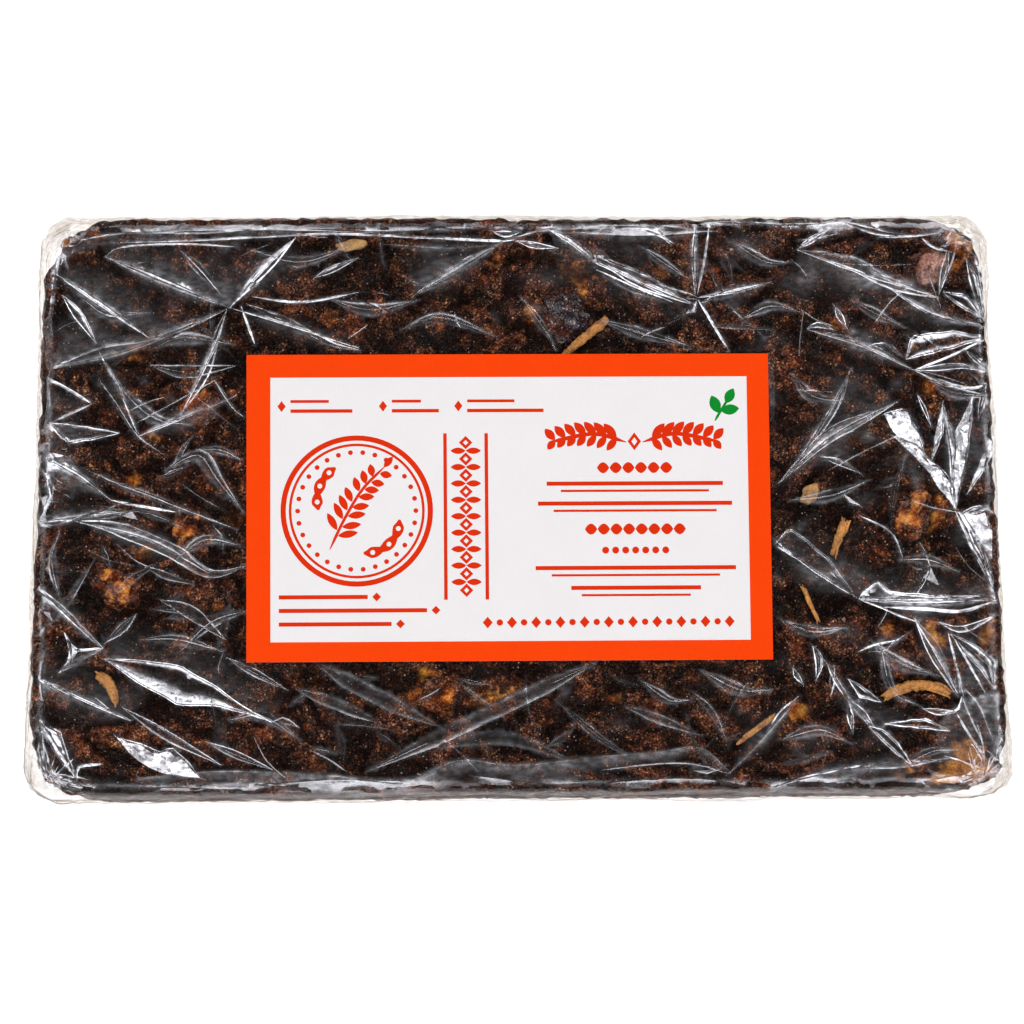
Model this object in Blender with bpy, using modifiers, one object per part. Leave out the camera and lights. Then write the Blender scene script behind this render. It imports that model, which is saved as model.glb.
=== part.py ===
"""Pressed tamarind block in a clear film wrap with a paper label.

The block lies on its back with the label up. The origin is the centre of the
back, where it rests. +X runs along the long side, +Y across, +Z up through the
label. All lengths are in metres.
"""

import math

import bmesh
import bpy
from mathutils import Matrix, Vector, noise

MM = 0.001

# Overall wrapped size
LENGTH = 165.0 * MM  # half way up the block; TAPER makes the lower side longer
WIDTH = 100.0 * MM
THICKNESS = 28.0 * MM
TAPER = 0.015

# Film: a clear sheet wrapped round the block and lapped along the back
FILM = 0.25 * MM
GAP = 0.30 * MM
CORNER_PLAN = 7.5 * MM  # how far the rounding reaches across the front
CORNER_DEEP = 5.5 * MM  # and down the side
LAP_HALF_LENGTH = 66.0 * MM
LAP_INNER_EDGE = -7.0 * MM
LAP_OUTER_EDGE = 7.0 * MM
LAP_STEP = 7.5 * MM
LAP_RISE = 0.6 * MM

# Block of pressed pulp
SKIN = FILM + GAP
LUMP = 1.1 * MM
LUMP_SIZE = 13.0 * MM
SEAM_MARK = 0.65 * MM  # the seam leaves a shallow channel in the soft back

# Label
LABEL_LONG = 88.9 * MM
LABEL_HIGH = 52.4 * MM
LABEL_THICK = 0.2 * MM
LABEL_AT = (-1.7 * MM, -1.1 * MM)

# Seeds still in the pulp: name, x, y, length, breadth, height, turn in degrees
SEEDS = (
    ("seed_top", 8.3, 32.3, 10.2, 8.4, 5.2, -62),
    ("seed_left_upper", -54.1, 16.3, 9.0, 7.0, 4.6, 48),
    ("seed_left_middle", -56.4, -3.7, 8.0, 5.6, 4.2, 78),
    ("seed_left_lower", -68.3, -13.8, 9.4, 7.4, 4.6, -38),
    ("seed_right_corner", 70.4, 40.2, 8.6, 7.0, 4.6, 70),
    ("seed_right_middle", 67.7, -2.4, 10.6, 6.8, 4.8, 62),
    ("seed_bottom", -12.6, -32.1, 9.6, 7.0, 4.8, 10),
)

# Fibres of the pod's veins lying in the surface: name, thickness, points in mm
FIBRES = (
    ("vein_fibre_right", 2.0, ((61.7, -33.8), (64.3, -32.4), (67.6, -31.7), (70.7, -32.1), (73.0, -33.2))),
    ("vein_fibre_left", 2.0, ((-71.4, -29.0), (-69.7, -30.2), (-68.7, -31.9), (-68.0, -34.2))),
    ("vein_fibre_top", 1.6, ((15.5, 31.6), (13.4, 29.8), (10.7, 27.6), (7.9, 25.0), (6.4, 23.4))),
    ("vein_fibre_lower_right", 1.2, ((43.1, -36.7), (39.9, -39.0), (36.4, -41.6))),
    ("vein_fibre_upper_right", 1.6, ((55.7, -3.7), (54.4, -6.6), (53.2, -9.5))),
    ("vein_fibre_edge", 1.0, ((48.3, -15.0), (49.3, -17.6), (50.7, -20.8))),
)

# Flakes of the brittle pod shell: name, x, y, length, breadth, turn in degrees
FLAKES = (
    ("shell_flake_right", 49.7, 1.0, 3.6, 2.6, 52),
    ("shell_flake_top", -28.2, 44.4, 5.2, 1.9, 8),
)

FLAKE_THICK = 0.9 * MM

TOP = THICKNESS - SKIN  # highest pulp
SINK = 0.1 * MM  # embedded pieces end a little below it


def clear_scene():
    for obj in list(bpy.data.objects):
        bpy.data.objects.remove(obj)


def collection(name):
    made = bpy.data.collections.new(name)
    bpy.context.scene.collection.children.link(made)
    return made


def material(name, colour, roughness, metallic=0.0, alpha=1.0):
    made = bpy.data.materials.new(name)
    made.use_nodes = True
    shader = made.node_tree.nodes["Principled BSDF"]
    shader.inputs["Base Color"].default_value = (*colour, 1.0)
    shader.inputs["Roughness"].default_value = roughness
    shader.inputs["Metallic"].default_value = metallic
    shader.inputs["Alpha"].default_value = alpha
    return made


def add(name, mesh, where, finish):
    obj = bpy.data.objects.new(name, mesh)
    where.objects.link(obj)
    if finish is not None:
        mesh.materials.append(finish)
    return obj


def place(obj, at, turn=0.0):
    """Put an object at a point in metres, turned about +Z by degrees."""
    obj.location = at
    obj.rotation_euler = (0, 0, math.radians(turn))
    return obj


def stations(half, reach, arc_steps, middle):
    """Cut positions along one axis: close together on the rounding, even between."""
    inner = half - reach
    rounded = [inner + reach * math.tan(math.radians(45) * i / arc_steps) for i in range(arc_steps)]
    flat = [inner * (2 * i / middle - 1) for i in range(1, middle)]
    return sorted({round(v, 7) for v in flat + rounded + [-v for v in rounded]})


def rounded_slab(size, plan, deep, arc_steps, middle):
    """A cube cut into a grid, its edges then drawn onto an elliptic rounding."""
    half = Vector(size) / 2
    mesh = bmesh.new()
    bmesh.ops.create_cube(mesh, size=1.0)
    bmesh.ops.scale(mesh, vec=size, verts=mesh.verts)
    for axis in range(3):
        reach = deep if axis == 2 else plan
        normal = Vector((0, 0, 0))
        normal[axis] = 1
        for at in stations(half[axis], reach, arc_steps, middle[axis]):
            bmesh.ops.bisect_plane(
                mesh, geom=mesh.verts[:] + mesh.edges[:] + mesh.faces[:],
                plane_co=normal * at, plane_no=normal, dist=1e-7,
            )
    stretch = plan / deep
    core = Vector((half.x - plan, half.y - plan, (half.z - deep) * stretch))
    for v in mesh.verts:
        p = Vector((v.co.x, v.co.y, v.co.z * stretch))
        inside = Vector([max(-core[i], min(core[i], p[i])) for i in range(3)])
        out = p - inside
        if out.length > 1e-9:
            p = inside + out.normalized() * plan
        v.co = Vector((p.x * (1 - TAPER * p.y / half.y), p.y, p.z / stretch))
    mesh.normal_update()
    return mesh


def finish_mesh(bm, name):
    bmesh.ops.recalc_face_normals(bm, faces=bm.faces)
    mesh = bpy.data.meshes.new(name)
    bm.to_mesh(mesh)
    bm.free()
    mesh.shade_smooth()
    return mesh


def smooth_step(x):
    x = max(0.0, min(1.0, x))
    return x * x * (3 - 2 * x)


def lumps(p):
    """How far the pressed surface falls back at a point, from 0 to LUMP."""
    q = p / LUMP_SIZE
    broad = noise.noise(q + Vector((3.1, 7.7, 1.9)))
    fine = noise.noise(q * 2.3 + Vector((9.4, 2.2, 5.6)))
    return LUMP * smooth_step(0.5 + 0.75 * broad + 0.35 * fine)


def front_height(x, y):
    """Height of the block's front, before its lumps, at a point in metres."""
    plan, deep = CORNER_PLAN - SKIN, CORNER_DEEP - SKIN
    past_x = max(0.0, abs(x) - (LENGTH / 2 - SKIN - plan))
    past_y = max(0.0, abs(y) - (WIDTH / 2 - SKIN - plan))
    out = min(1.0, math.hypot(past_x, past_y) / plan)
    return TOP - deep * (1 - math.sqrt(1 - out * out))


def make_block(where, finish):
    size = (LENGTH - 2 * SKIN, WIDTH - 2 * SKIN, THICKNESS - 2 * SKIN)
    bm = rounded_slab(size, CORNER_PLAN - SKIN, CORNER_DEEP - SKIN, 2, (22, 13, 3))
    for v in bm.verts:
        up = smooth_step((v.co.z + size[2] / 2 - 1 * MM) / (6 * MM))
        fall = lumps(v.co) * up
        v.co -= v.normal * fall
        v.co.z += THICKNESS / 2
    return add("tamarind_block", finish_mesh(bm, "tamarind_block"), where, finish)


def cut(target, cutter, name):
    modifier = target.modifiers.new(name, "BOOLEAN")
    modifier.operation = "DIFFERENCE"
    modifier.object = cutter
    modifier.solver = "EXACT"


def hide(obj):
    obj.hide_render = True
    obj.display_type = "WIRE"
    return obj


def seam_channel(where):
    bm = bmesh.new()
    bmesh.ops.create_cube(bm, size=1.0)
    long = 2 * LAP_HALF_LENGTH + 2 * MM
    wide = LAP_STEP - LAP_INNER_EDGE + 2 * MM
    high = 2 * MM
    bmesh.ops.scale(bm, vec=(long, wide, high), verts=bm.verts)
    cutter = hide(add("cut_seam_channel", finish_mesh(bm, "cut_seam_channel"), where, None))
    return place(cutter, (0, (LAP_STEP + LAP_INNER_EDGE) / 2, SKIN + SEAM_MARK - high / 2))


def seed_mesh(name, long, broad, high):
    """A flattened, slightly square oval, the shape of a tamarind seed."""
    bm = bmesh.new()
    bmesh.ops.create_uvsphere(bm, u_segments=16, v_segments=8, radius=0.5)
    for v in bm.verts:
        x, y, z = v.co
        r = math.hypot(x, y)
        if r > 1e-6:
            a = math.atan2(y, x)
            square = 1 / (abs(math.cos(a)) ** 2.6 + abs(math.sin(a)) ** 2.6) ** (1 / 2.6)
            x, y = x * square, y * square
        v.co = Vector((x * long, y * broad, z * high))
    return finish_mesh(bm, name)


def fibre_curve(name, thick, points, z, where, steps=4):
    """A round strand through the points, drawn as a smooth line."""
    pts = [Vector((x * MM, y * MM, 0)) for x, y in points]
    line = []
    for i in range(len(pts) - 1):
        before = pts[i - 1] if i else 2 * pts[0] - pts[1]
        after = pts[i + 2] if i + 2 < len(pts) else 2 * pts[-1] - pts[-2]
        a, b = pts[i], pts[i + 1]
        for s in range(steps):
            t = s / steps
            line.append(
                0.5 * ((2 * a) + (b - before) * t + (2 * before - 5 * a + 4 * b - after) * t * t
                       + (3 * a - before - 3 * b + after) * t ** 3)
            )
    line.append(pts[-1])
    data = bpy.data.curves.new(name, "CURVE")
    data.dimensions = "3D"
    data.bevel_depth = thick / 2
    data.bevel_resolution = 1
    data.use_fill_caps = True
    spline = data.splines.new("POLY")
    spline.points.add(len(line) - 1)
    for i, p in enumerate(line):
        spline.points[i].co = (p.x, p.y, z, 1)
        t = i / (len(line) - 1)
        spline.points[i].radius = 0.72 + 0.28 * math.sin(math.pi * min(1, 0.15 + 0.8 * t))
    obj = bpy.data.objects.new(name, data)
    where.objects.link(obj)
    return obj


def as_mesh(obj, where, finish):
    """The curve as a welded mesh object of the same name."""
    bpy.context.view_layer.update()
    graph = bpy.context.evaluated_depsgraph_get()
    mesh = bpy.data.meshes.new_from_object(obj.evaluated_get(graph))
    bm = bmesh.new()
    bm.from_mesh(mesh)
    bmesh.ops.remove_doubles(bm, verts=bm.verts, dist=1e-6)
    bmesh.ops.recalc_face_normals(bm, faces=bm.faces)
    bm.to_mesh(mesh)
    bm.free()
    name = obj.name
    matrix = obj.matrix_world.copy()
    bpy.data.objects.remove(obj)
    mesh.name = name
    made = add(name, mesh, where, finish)
    made.matrix_world = matrix
    return made


def flake_mesh(name, long, broad, thick):
    """A thin chip with five uneven sides."""
    outline = ((-0.5, -0.32), (0.1, -0.5), (0.5, -0.12), (0.34, 0.42), (-0.38, 0.5))
    bm = bmesh.new()
    corners = [bm.verts.new((x * long, y * broad, -thick / 2)) for x, y in outline]
    face = bm.faces.new(corners)
    out = bmesh.ops.extrude_face_region(bm, geom=[face])
    raised = [g for g in out["geom"] if isinstance(g, bmesh.types.BMVert)]
    bmesh.ops.translate(bm, vec=(0, 0, thick), verts=raised)
    return finish_mesh(bm, name)


def make_film(where, finish):
    """An open skin over the rounded slab, slit along the back and lapped there."""
    bm = rounded_slab((LENGTH, WIDTH, THICKNESS), CORNER_PLAN, CORNER_DEEP, 4, (3, 3, 2))
    for v in bm.verts:
        v.co.z += THICKNESS / 2
    for axis, at in ((0, -LAP_HALF_LENGTH), (0, LAP_HALF_LENGTH), (1, LAP_OUTER_EDGE), (1, LAP_STEP)):
        normal = Vector((0, 0, 0))
        normal[axis] = 1
        bmesh.ops.bisect_plane(
            bm, geom=bm.verts[:] + bm.edges[:] + bm.faces[:],
            plane_co=normal * at, plane_no=normal, dist=1e-7,
        )
    bmesh.ops.recalc_face_normals(bm, faces=bm.faces)
    slit = []
    for f in bm.faces:
        c = f.calc_center_median()
        if c.z < 1e-6 and abs(c.x) < LAP_HALF_LENGTH and LAP_OUTER_EDGE < c.y < LAP_STEP:
            slit.append(f)
    bmesh.ops.delete(bm, geom=slit, context="FACES")
    edge = []
    for e in bm.edges:
        a, b = e.verts
        if (
            e.is_boundary
            and abs(a.co.y - LAP_STEP) < 1e-6
            and abs(b.co.y - LAP_STEP) < 1e-6
        ):
            edge.append(e)
    rise = bmesh.ops.extrude_edge_only(bm, edges=edge)
    up = [g for g in rise["geom"] if isinstance(g, bmesh.types.BMVert)]
    bmesh.ops.translate(bm, vec=(0, 0, LAP_RISE), verts=up)
    edge = [g for g in rise["geom"] if isinstance(g, bmesh.types.BMEdge)]
    tongue = bmesh.ops.extrude_edge_only(bm, edges=edge)
    under = [g for g in tongue["geom"] if isinstance(g, bmesh.types.BMVert)]
    bmesh.ops.translate(bm, vec=(0, LAP_INNER_EDGE - LAP_STEP, 0), verts=under)
    bmesh.ops.recalc_face_normals(bm, faces=bm.faces)
    # The outer side of the skin looks away from the block.
    lowest = min(bm.faces, key=lambda f: f.calc_center_median().z)
    if lowest.normal.z > 0:
        bmesh.ops.reverse_faces(bm, faces=bm.faces)
    mesh = bpy.data.meshes.new("film_wrap")
    bm.to_mesh(mesh)
    bm.free()
    mesh.shade_smooth()
    film = add("film_wrap", mesh, where, finish)
    skin = film.modifiers.new("film thickness", "SOLIDIFY")
    skin.thickness = FILM
    skin.offset = -1
    skin.use_even_offset = True
    skin.use_rim = True
    return film


def make_label(where, finish):
    bm = bmesh.new()
    size = Matrix.Diagonal((LABEL_LONG, LABEL_HIGH, LABEL_THICK, 1.0))
    bmesh.ops.create_cube(bm, size=1.0, matrix=size)
    label = add("paper_label", finish_mesh(bm, "paper_label"), where, finish)
    label.data.shade_flat()
    return place(label, (*LABEL_AT, THICKNESS + GAP + LABEL_THICK / 2))


def main():
    clear_scene()
    parts = collection("pressed_tamarind_block")
    cutters = collection("cutters")
    pulp = material("pulp", (0.055, 0.026, 0.017), 0.45)
    seed = material("amber_seed", (0.23, 0.075, 0.018), 0.3)
    dark_seed = material("dark_seed", (0.045, 0.016, 0.010), 0.18)
    fibre = material("fibre", (0.42, 0.23, 0.08), 0.6)
    shell = material("pod_shell", (0.46, 0.27, 0.10), 0.65)
    film = material("clear_film", (0.92, 0.92, 0.94), 0.06, alpha=0.25)
    paper = material("label_paper", (0.88, 0.86, 0.86), 0.55)

    block = make_block(parts, pulp)
    cut(block, seam_channel(cutters), "seam mark")

    for name, x, y, long, broad, high, turn in SEEDS:
        at = (x * MM, y * MM, front_height(x * MM, y * MM) - SINK - high * MM / 2)
        finish = dark_seed if name == "seed_top" else seed
        place(add(name, seed_mesh(name, long * MM, broad * MM, high * MM), parts, finish), at, turn)
        pocket = seed_mesh(
            "cut_" + name, long * MM + 2 * GAP, broad * MM + 2 * GAP, high * MM + 2 * GAP
        )
        cut(block, hide(place(add("cut_" + name, pocket, cutters, None), at, turn)), name)

    for name, thick, points in FIBRES:
        lowest = min(front_height(x * MM, y * MM) for x, y in points)
        z = lowest - SINK - thick * MM / 2
        as_mesh(fibre_curve(name, thick * MM, points, z, parts), parts, fibre)
        first, last = Vector(points[0]), Vector(points[-1])
        reach_a = (first - Vector(points[1])).normalized() * 0.4
        reach_b = (last - Vector(points[-2])).normalized() * 0.4
        longer = (tuple(first + reach_a), *points[1:-1], tuple(last + reach_b))
        groove = as_mesh(
            fibre_curve("cut_" + name, (thick + 0.9) * MM, longer, z, cutters), cutters, None
        )
        cut(block, hide(groove), name)

    for name, x, y, long, broad, turn in FLAKES:
        lowest = min(
            front_height((x + i * broad / 2) * MM, (y + j * broad / 2) * MM)
            for i in (-1, 1) for j in (-1, 1)
        )
        at = (x * MM, y * MM, lowest - SINK - FLAKE_THICK / 2)
        place(add(name, flake_mesh(name, long * MM, broad * MM, FLAKE_THICK), parts, shell), at, turn)
        pocket = flake_mesh(
            "cut_" + name, (long + 1.2) * MM, (broad + 1.2) * MM, FLAKE_THICK + 2 * GAP
        )
        cut(block, hide(place(add("cut_" + name, pocket, cutters, None), at, turn)), name)

    make_film(parts, film)
    make_label(parts, paper)


main()
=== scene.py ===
"""The looks of a pressed tamarind block in creased clear film, with a paper label.

Lengths are in millimetres until a mesh is made. Places on the front are written
as (u, v) in a 1024 by 1024 view straight through the scene's own camera, u to
the right and v down, and `at` carries them to the front's plane.
"""

import math

import bpy
import numpy as np
from mathutils import Matrix, Vector
from mathutils.geometry import delaunay_2d_cdt


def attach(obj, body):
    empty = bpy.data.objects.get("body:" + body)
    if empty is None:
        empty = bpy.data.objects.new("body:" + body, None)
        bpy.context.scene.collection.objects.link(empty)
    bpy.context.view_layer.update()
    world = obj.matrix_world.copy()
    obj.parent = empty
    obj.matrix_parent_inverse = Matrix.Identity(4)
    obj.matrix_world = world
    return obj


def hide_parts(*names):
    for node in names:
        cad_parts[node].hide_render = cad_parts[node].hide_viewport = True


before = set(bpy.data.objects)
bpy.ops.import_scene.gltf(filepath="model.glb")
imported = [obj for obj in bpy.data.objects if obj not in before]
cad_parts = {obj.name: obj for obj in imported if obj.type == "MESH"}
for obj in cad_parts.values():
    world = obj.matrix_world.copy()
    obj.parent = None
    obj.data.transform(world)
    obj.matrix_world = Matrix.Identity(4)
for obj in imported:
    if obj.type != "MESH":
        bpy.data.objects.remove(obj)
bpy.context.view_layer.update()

MM = 0.001

# ---------------------------------------------------------------- sizes, in mm

LENGTH, WIDTH, THICK = 165.0, 100.0, 28.0
TAPER = 0.015
LABEL_X, LABEL_Y = -1.7, -1.1
LABEL_LONG, LABEL_HIGH = 88.9, 52.4
LABEL_LOW, LABEL_TOP = 28.28, 28.5

# ---------------------------------------------------------------------- camera

TILT, YAW, ROLL = math.radians(7.0), math.radians(-1.885), math.radians(-0.258)
AIM = np.array([-1.22, -2.02, 28.5])
REACH = 606.3
FOCAL = 3577.5  # in pixels of a 1024 frame


def turn_matrix(tilt, yaw, roll):
    cx, sx = math.cos(tilt), math.sin(tilt)
    cy, sy = math.cos(yaw), math.sin(yaw)
    cz, sz = math.cos(roll), math.sin(roll)
    about_x = np.array([[1, 0, 0], [0, cx, -sx], [0, sx, cx]])
    about_y = np.array([[cy, 0, sy], [0, 1, 0], [-sy, 0, cy]])
    about_z = np.array([[cz, -sz, 0], [sz, cz, 0], [0, 0, 1]])
    return about_x @ about_y @ about_z


TURN = turn_matrix(TILT, YAW, ROLL)
EYE = AIM + TURN @ np.array([0, 0, REACH])


def at(u, v, z=27.8):
    """The (x, y) in mm that the camera sees at (u, v) on the plane at height z."""
    ray = TURN @ np.array([(u - 512) / FOCAL, -(v - 512) / FOCAL, -1.0])
    s = (z - EYE[2]) / ray[2]
    return (EYE + s * ray)[:2]


# ----------------------------------------------------------------------- noise


def scatter(ix, iy, iz, seed):
    """An even random number in 0..1 for each whole-number point."""
    h = (ix * 0x9E3779B1 + iy * 0x85EBCA77 + iz * 0xC2B2AE3D + seed * 0x27D4EB2F) & 0xFFFFFFFF
    h = h ^ (h >> 15)
    h = (h * 0x2C1B3C6D) & 0xFFFFFFFF
    h = h ^ (h >> 12)
    h = (h * 0x297A2D39) & 0xFFFFFFFF
    h = h ^ (h >> 15)
    return h / 4294967296.0


def perlin(p, seed=0):
    """Gradient noise at the points p (n by 3), about -1 to 1."""
    i = np.floor(p).astype(np.int64)
    f = p - i
    w = f * f * f * (f * (f * 6 - 15) + 10)
    total = np.zeros(len(p))
    for dx in (0, 1):
        for dy in (0, 1):
            for dz in (0, 1):
                a = scatter(i[:, 0] + dx, i[:, 1] + dy, i[:, 2] + dz, seed) * 2 * np.pi
                b = scatter(i[:, 0] + dx, i[:, 1] + dy, i[:, 2] + dz, seed + 57) * 2 - 1
                s = np.sqrt(1 - b * b)
                dot = (
                    s * np.cos(a) * (f[:, 0] - dx)
                    + s * np.sin(a) * (f[:, 1] - dy)
                    + b * (f[:, 2] - dz)
                )
                total += (
                    dot
                    * (w[:, 0] if dx else 1 - w[:, 0])
                    * (w[:, 1] if dy else 1 - w[:, 1])
                    * (w[:, 2] if dz else 1 - w[:, 2])
                )
    return total * 1.7


def ease(x, a, b):
    t = np.clip((x - a) / (b - a), 0, 1)
    return t * t * (3 - 2 * t)


# ------------------------------------------------ what shows at the pulp's surface

SEEDS = (
    ("seed_top", 8.3, 32.3, 10.2, 8.4, 5.2, -62, "dark_seed", 27.25),
    ("seed_left_upper", -54.1, 16.3, 9.0, 7.0, 4.6, 48, "amber_seed", 26.85),
    ("seed_left_middle", -56.4, -3.7, 8.0, 5.6, 4.2, 78, "amber_seed", 26.85),
    ("seed_left_lower", -68.3, -13.8, 9.4, 7.4, 4.6, -38, "amber_seed", 26.95),
    ("seed_right_corner", 70.4, 40.2, 8.6, 7.0, 4.6, 70, "amber_seed", 26.75),
    ("seed_right_middle", 67.7, -2.4, 10.6, 6.8, 4.8, 62, "amber_seed", 26.95),
    ("seed_bottom", -12.6, -32.1, 9.6, 7.0, 4.8, 10, "amber_seed", 26.85),
)

FIBRES = (
    ("vein_fibre_right", ((61.7, -33.8), (64.3, -32.4), (67.6, -31.7), (70.7, -32.1), (73.0, -33.2)), 2.0),
    ("vein_fibre_left", ((-71.4, -29.0), (-69.7, -30.2), (-68.7, -31.9), (-68.0, -34.2)), 2.0),
    ("vein_fibre_top", ((15.5, 31.6), (13.4, 29.8), (10.7, 27.6), (7.9, 25.0), (6.4, 23.4)), 1.7),
    ("vein_fibre_lower_right", ((43.1, -36.7), (39.9, -39.0), (36.4, -41.6)), 1.1),
    ("vein_fibre_upper_right", ((55.7, -3.7), (54.4, -6.6), (53.2, -9.5)), 1.6),
    ("vein_fibre_edge", ((48.3, -15.0), (49.3, -17.6), (50.7, -20.8)), 0.9),
)

SHOWING = [(x, y, long, broad, turn) for _, x, y, long, broad, _, turn, _, _ in SEEDS]
SHOWING += [(49.7, 1.0, 4.0, 2.7, 52), (-28.2, 44.4, 5.4, 2.0, 8)]
STRANDS = [(path, thick) for _, path, thick in FIBRES]

# ------------------------------------------------------------ the wrapped shape


SQUARE = 2.9  # the rounding's squareness: 2 would be an ellipse


class Slab:
    """A slab with rounded edges: a core rectangle, and an elliptic rounding round it."""

    def __init__(self, inset_x, inset_y, low, high, plan, deep):
        self.core = np.array([LENGTH / 2 - inset_x - plan, WIDTH / 2 - inset_y - plan])
        self.low, self.high, self.plan, self.deep = low, high, plan, deep

    def outline(self, columns):
        """Core points and outward directions, evenly spaced round the outline."""
        cx, cy = self.core
        quarter = math.pi / 2 * self.plan
        legs = []
        for k, (sx, sy) in enumerate(((1, -1), (1, 1), (-1, 1), (-1, -1))):
            legs.append(("arc", np.array([sx * cx, sy * cy]), (k - 1) * math.pi / 2, quarter))
            nxt = ((1, 1), (-1, 1), (-1, -1), (1, -1))[k]
            a, b = np.array([sx * cx, sy * cy]), np.array([nxt[0] * cx, nxt[1] * cy])
            legs.append(("side", a, b, np.linalg.norm(b - a)))
        total = sum(leg[3] for leg in legs)
        points, ways, run = [], [], []
        for i in range(columns):
            s = total * i / columns
            run.append(s)
            for leg in legs:
                if s <= leg[3]:
                    break
                s -= leg[3]
            if leg[0] == "arc":
                a = leg[2] + s / self.plan
                points.append(leg[1])
                ways.append((math.cos(a), math.sin(a)))
            else:
                way = (leg[2] - leg[1]) / leg[3]
                points.append(leg[1] + way * s)
                ways.append((way[1], -way[0]))
        return np.array(points), np.array(ways), np.array(run)

    def cap(self, q, up):
        """Surface points and normals over plan points q, on the front (up) or the back."""
        past = np.maximum(np.abs(q) - self.core, 0)
        out = np.hypot(past[:, 0], past[:, 1])
        share = np.clip(out / self.plan, 0, 0.9999)
        rise = (1 - share ** SQUARE) ** (1 / SQUARE)
        z = self.high - self.deep * (1 - rise) if up else self.low + self.deep * (1 - rise)
        way = past * np.sign(q) / np.maximum(out, 1e-9)[:, None]
        slope = share ** (SQUARE - 1) / self.plan
        nz = rise ** (SQUARE - 1) / self.deep
        n = np.column_stack([way * slope[:, None], nz if up else -nz])
        n /= np.linalg.norm(n, axis=1)[:, None]
        return np.column_stack([q, z]), n


HALF_TURN = math.radians(45)
MIDWAY = math.cos(HALF_TURN) ** (2 / SQUARE)  # how far out the rounding's half-way ring lies


def grid_points(slab, step, seed, reach):
    """Scattered points in even rows that fill the front, kept clear of its outline."""
    cx, cy = slab.core + reach
    rows = int(2 * cy / (step * 0.87))
    points = []
    rng = np.random.default_rng(seed)
    for j in range(rows + 1):
        y = -cy + 2 * cy * j / rows
        n = int(2 * cx / step)
        x = -cx + (np.arange(n) + (0.25 if j % 2 else 0.75)) * (2 * cx / n)
        points.append(np.column_stack([x, np.full(n, y)]))
    q = np.vstack(points)
    q += rng.uniform(-0.16, 0.16, q.shape) * step
    past = np.maximum(np.abs(q) - slab.core, 0)
    return q[np.hypot(past[:, 0], past[:, 1]) < reach - 0.45 * step]


def fill_cap(ring, inner, edges):
    """Triangles over the ring of points and the inner points, with edges kept as creases."""
    n = len(ring)
    pts = np.vstack([ring, inner])
    all_edges = [(i, (i + 1) % n) for i in range(n)] + [(a + n, b + n) for a, b in edges]
    made = delaunay_2d_cdt([Vector(p) for p in pts.tolist()], all_edges, [], 1, 1e-5, True)
    out = np.array([(v.x, v.y) for v in made[0]])
    home = {}
    for k, sources in enumerate(made[3]):
        for s in sources:
            if s < n:
                home[s] = k
    faces = [tuple(f) for f in made[2]]
    return out, faces, [home[i] for i in range(n)]


def wrap(slab, columns, side_rows, front_points, front_edges, back_points, back_edges=()):
    """A closed skin over the slab: front, sides and back welded into one.

    Gives surface points, normals, faces, flat coordinates (front coordinates carried
    on down the sides), a zone number for each point (0 front, 1 side, 2 back) and the
    run round the side.
    """
    core, ways, run = slab.outline(columns)
    ring = core + ways * slab.plan * MIDWAY
    q, cap_faces, home = fill_cap(ring, front_points, front_edges)
    points, normals = slab.cap(q, True)
    flat, zone, along = [q], [np.zeros(len(q))], [np.zeros(len(q))]
    for i, k in enumerate(home):
        along[0][k] = run[i]
    all_points, all_normals, faces = [points], [normals], list(cap_faces)
    count = len(q)
    previous = home
    arc = math.hypot(slab.plan, slab.deep) * 0.86
    straight = slab.high - slab.low - 2 * slab.deep
    total = 2 * arc * 0.5 + straight
    for r in range(1, side_rows):
        s = total * r / side_rows
        if s < arc * 0.5:
            a = HALF_TURN * (1 - s / (arc * 0.5))
            radius = slab.plan * math.cos(a) ** (2 / SQUARE)
            z = slab.high - slab.deep * (1 - math.sin(a) ** (2 / SQUARE))
            nr, nz = math.cos(a) ** (2 - 2 / SQUARE) / slab.plan, math.sin(a) ** (2 - 2 / SQUARE) / slab.deep
        elif s < arc * 0.5 + straight:
            radius, z, nr, nz = slab.plan, slab.high - slab.deep - (s - arc * 0.5), 1, 0
        else:
            a = HALF_TURN * (s - arc * 0.5 - straight) / (arc * 0.5)
            radius = slab.plan * math.cos(a) ** (2 / SQUARE)
            z = slab.low + slab.deep * (1 - math.sin(a) ** (2 / SQUARE))
            nr, nz = math.cos(a) ** (2 - 2 / SQUARE) / slab.plan, -math.sin(a) ** (2 - 2 / SQUARE) / slab.deep
        size = math.hypot(nr, nz)
        all_points.append(np.column_stack([core + ways * radius, np.full(columns, z)]))
        all_normals.append(np.column_stack([ways * (nr / size), np.full(columns, nz / size)]))
        flat.append(ring + ways * s)
        zone.append(np.ones(columns))
        along.append(run)
        row = list(range(count, count + columns))
        count += columns
        for i in range(columns):
            j = (i + 1) % columns
            faces.append((previous[i], row[i], row[j], previous[j]))
        previous = row
    q, cap_faces, home = fill_cap(ring, back_points, back_edges)
    points, normals = slab.cap(q, False)
    all_points.append(points)
    all_normals.append(normals)
    flat.append(q)
    zone.append(np.full(len(q), 2.0))
    last = np.zeros(len(q))
    for i, k in enumerate(home):
        last[k] = run[i]
    along.append(last)
    row = [count + k for k in home]
    faces += [tuple(count + k for k in reversed(f)) for f in cap_faces]
    for i in range(columns):
        j = (i + 1) % columns
        faces.append((previous[i], row[i], row[j], previous[j]))
    stack = np.vstack(all_points), np.vstack(all_normals), faces, np.vstack(flat)
    return (*stack, np.concatenate(zone), np.concatenate(along))


def taper(p):
    """The lower long side is a little longer than the upper one."""
    p = p.copy()
    p[:, 0] *= 1 - TAPER * p[:, 1] / (WIDTH / 2)
    return p


def straighten(q):
    """Front coordinates before the taper, from places measured on the real outline."""
    q = np.array(q, float)
    q[:, 0] /= 1 - TAPER * q[:, 1] / (WIDTH / 2)
    return q


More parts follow.
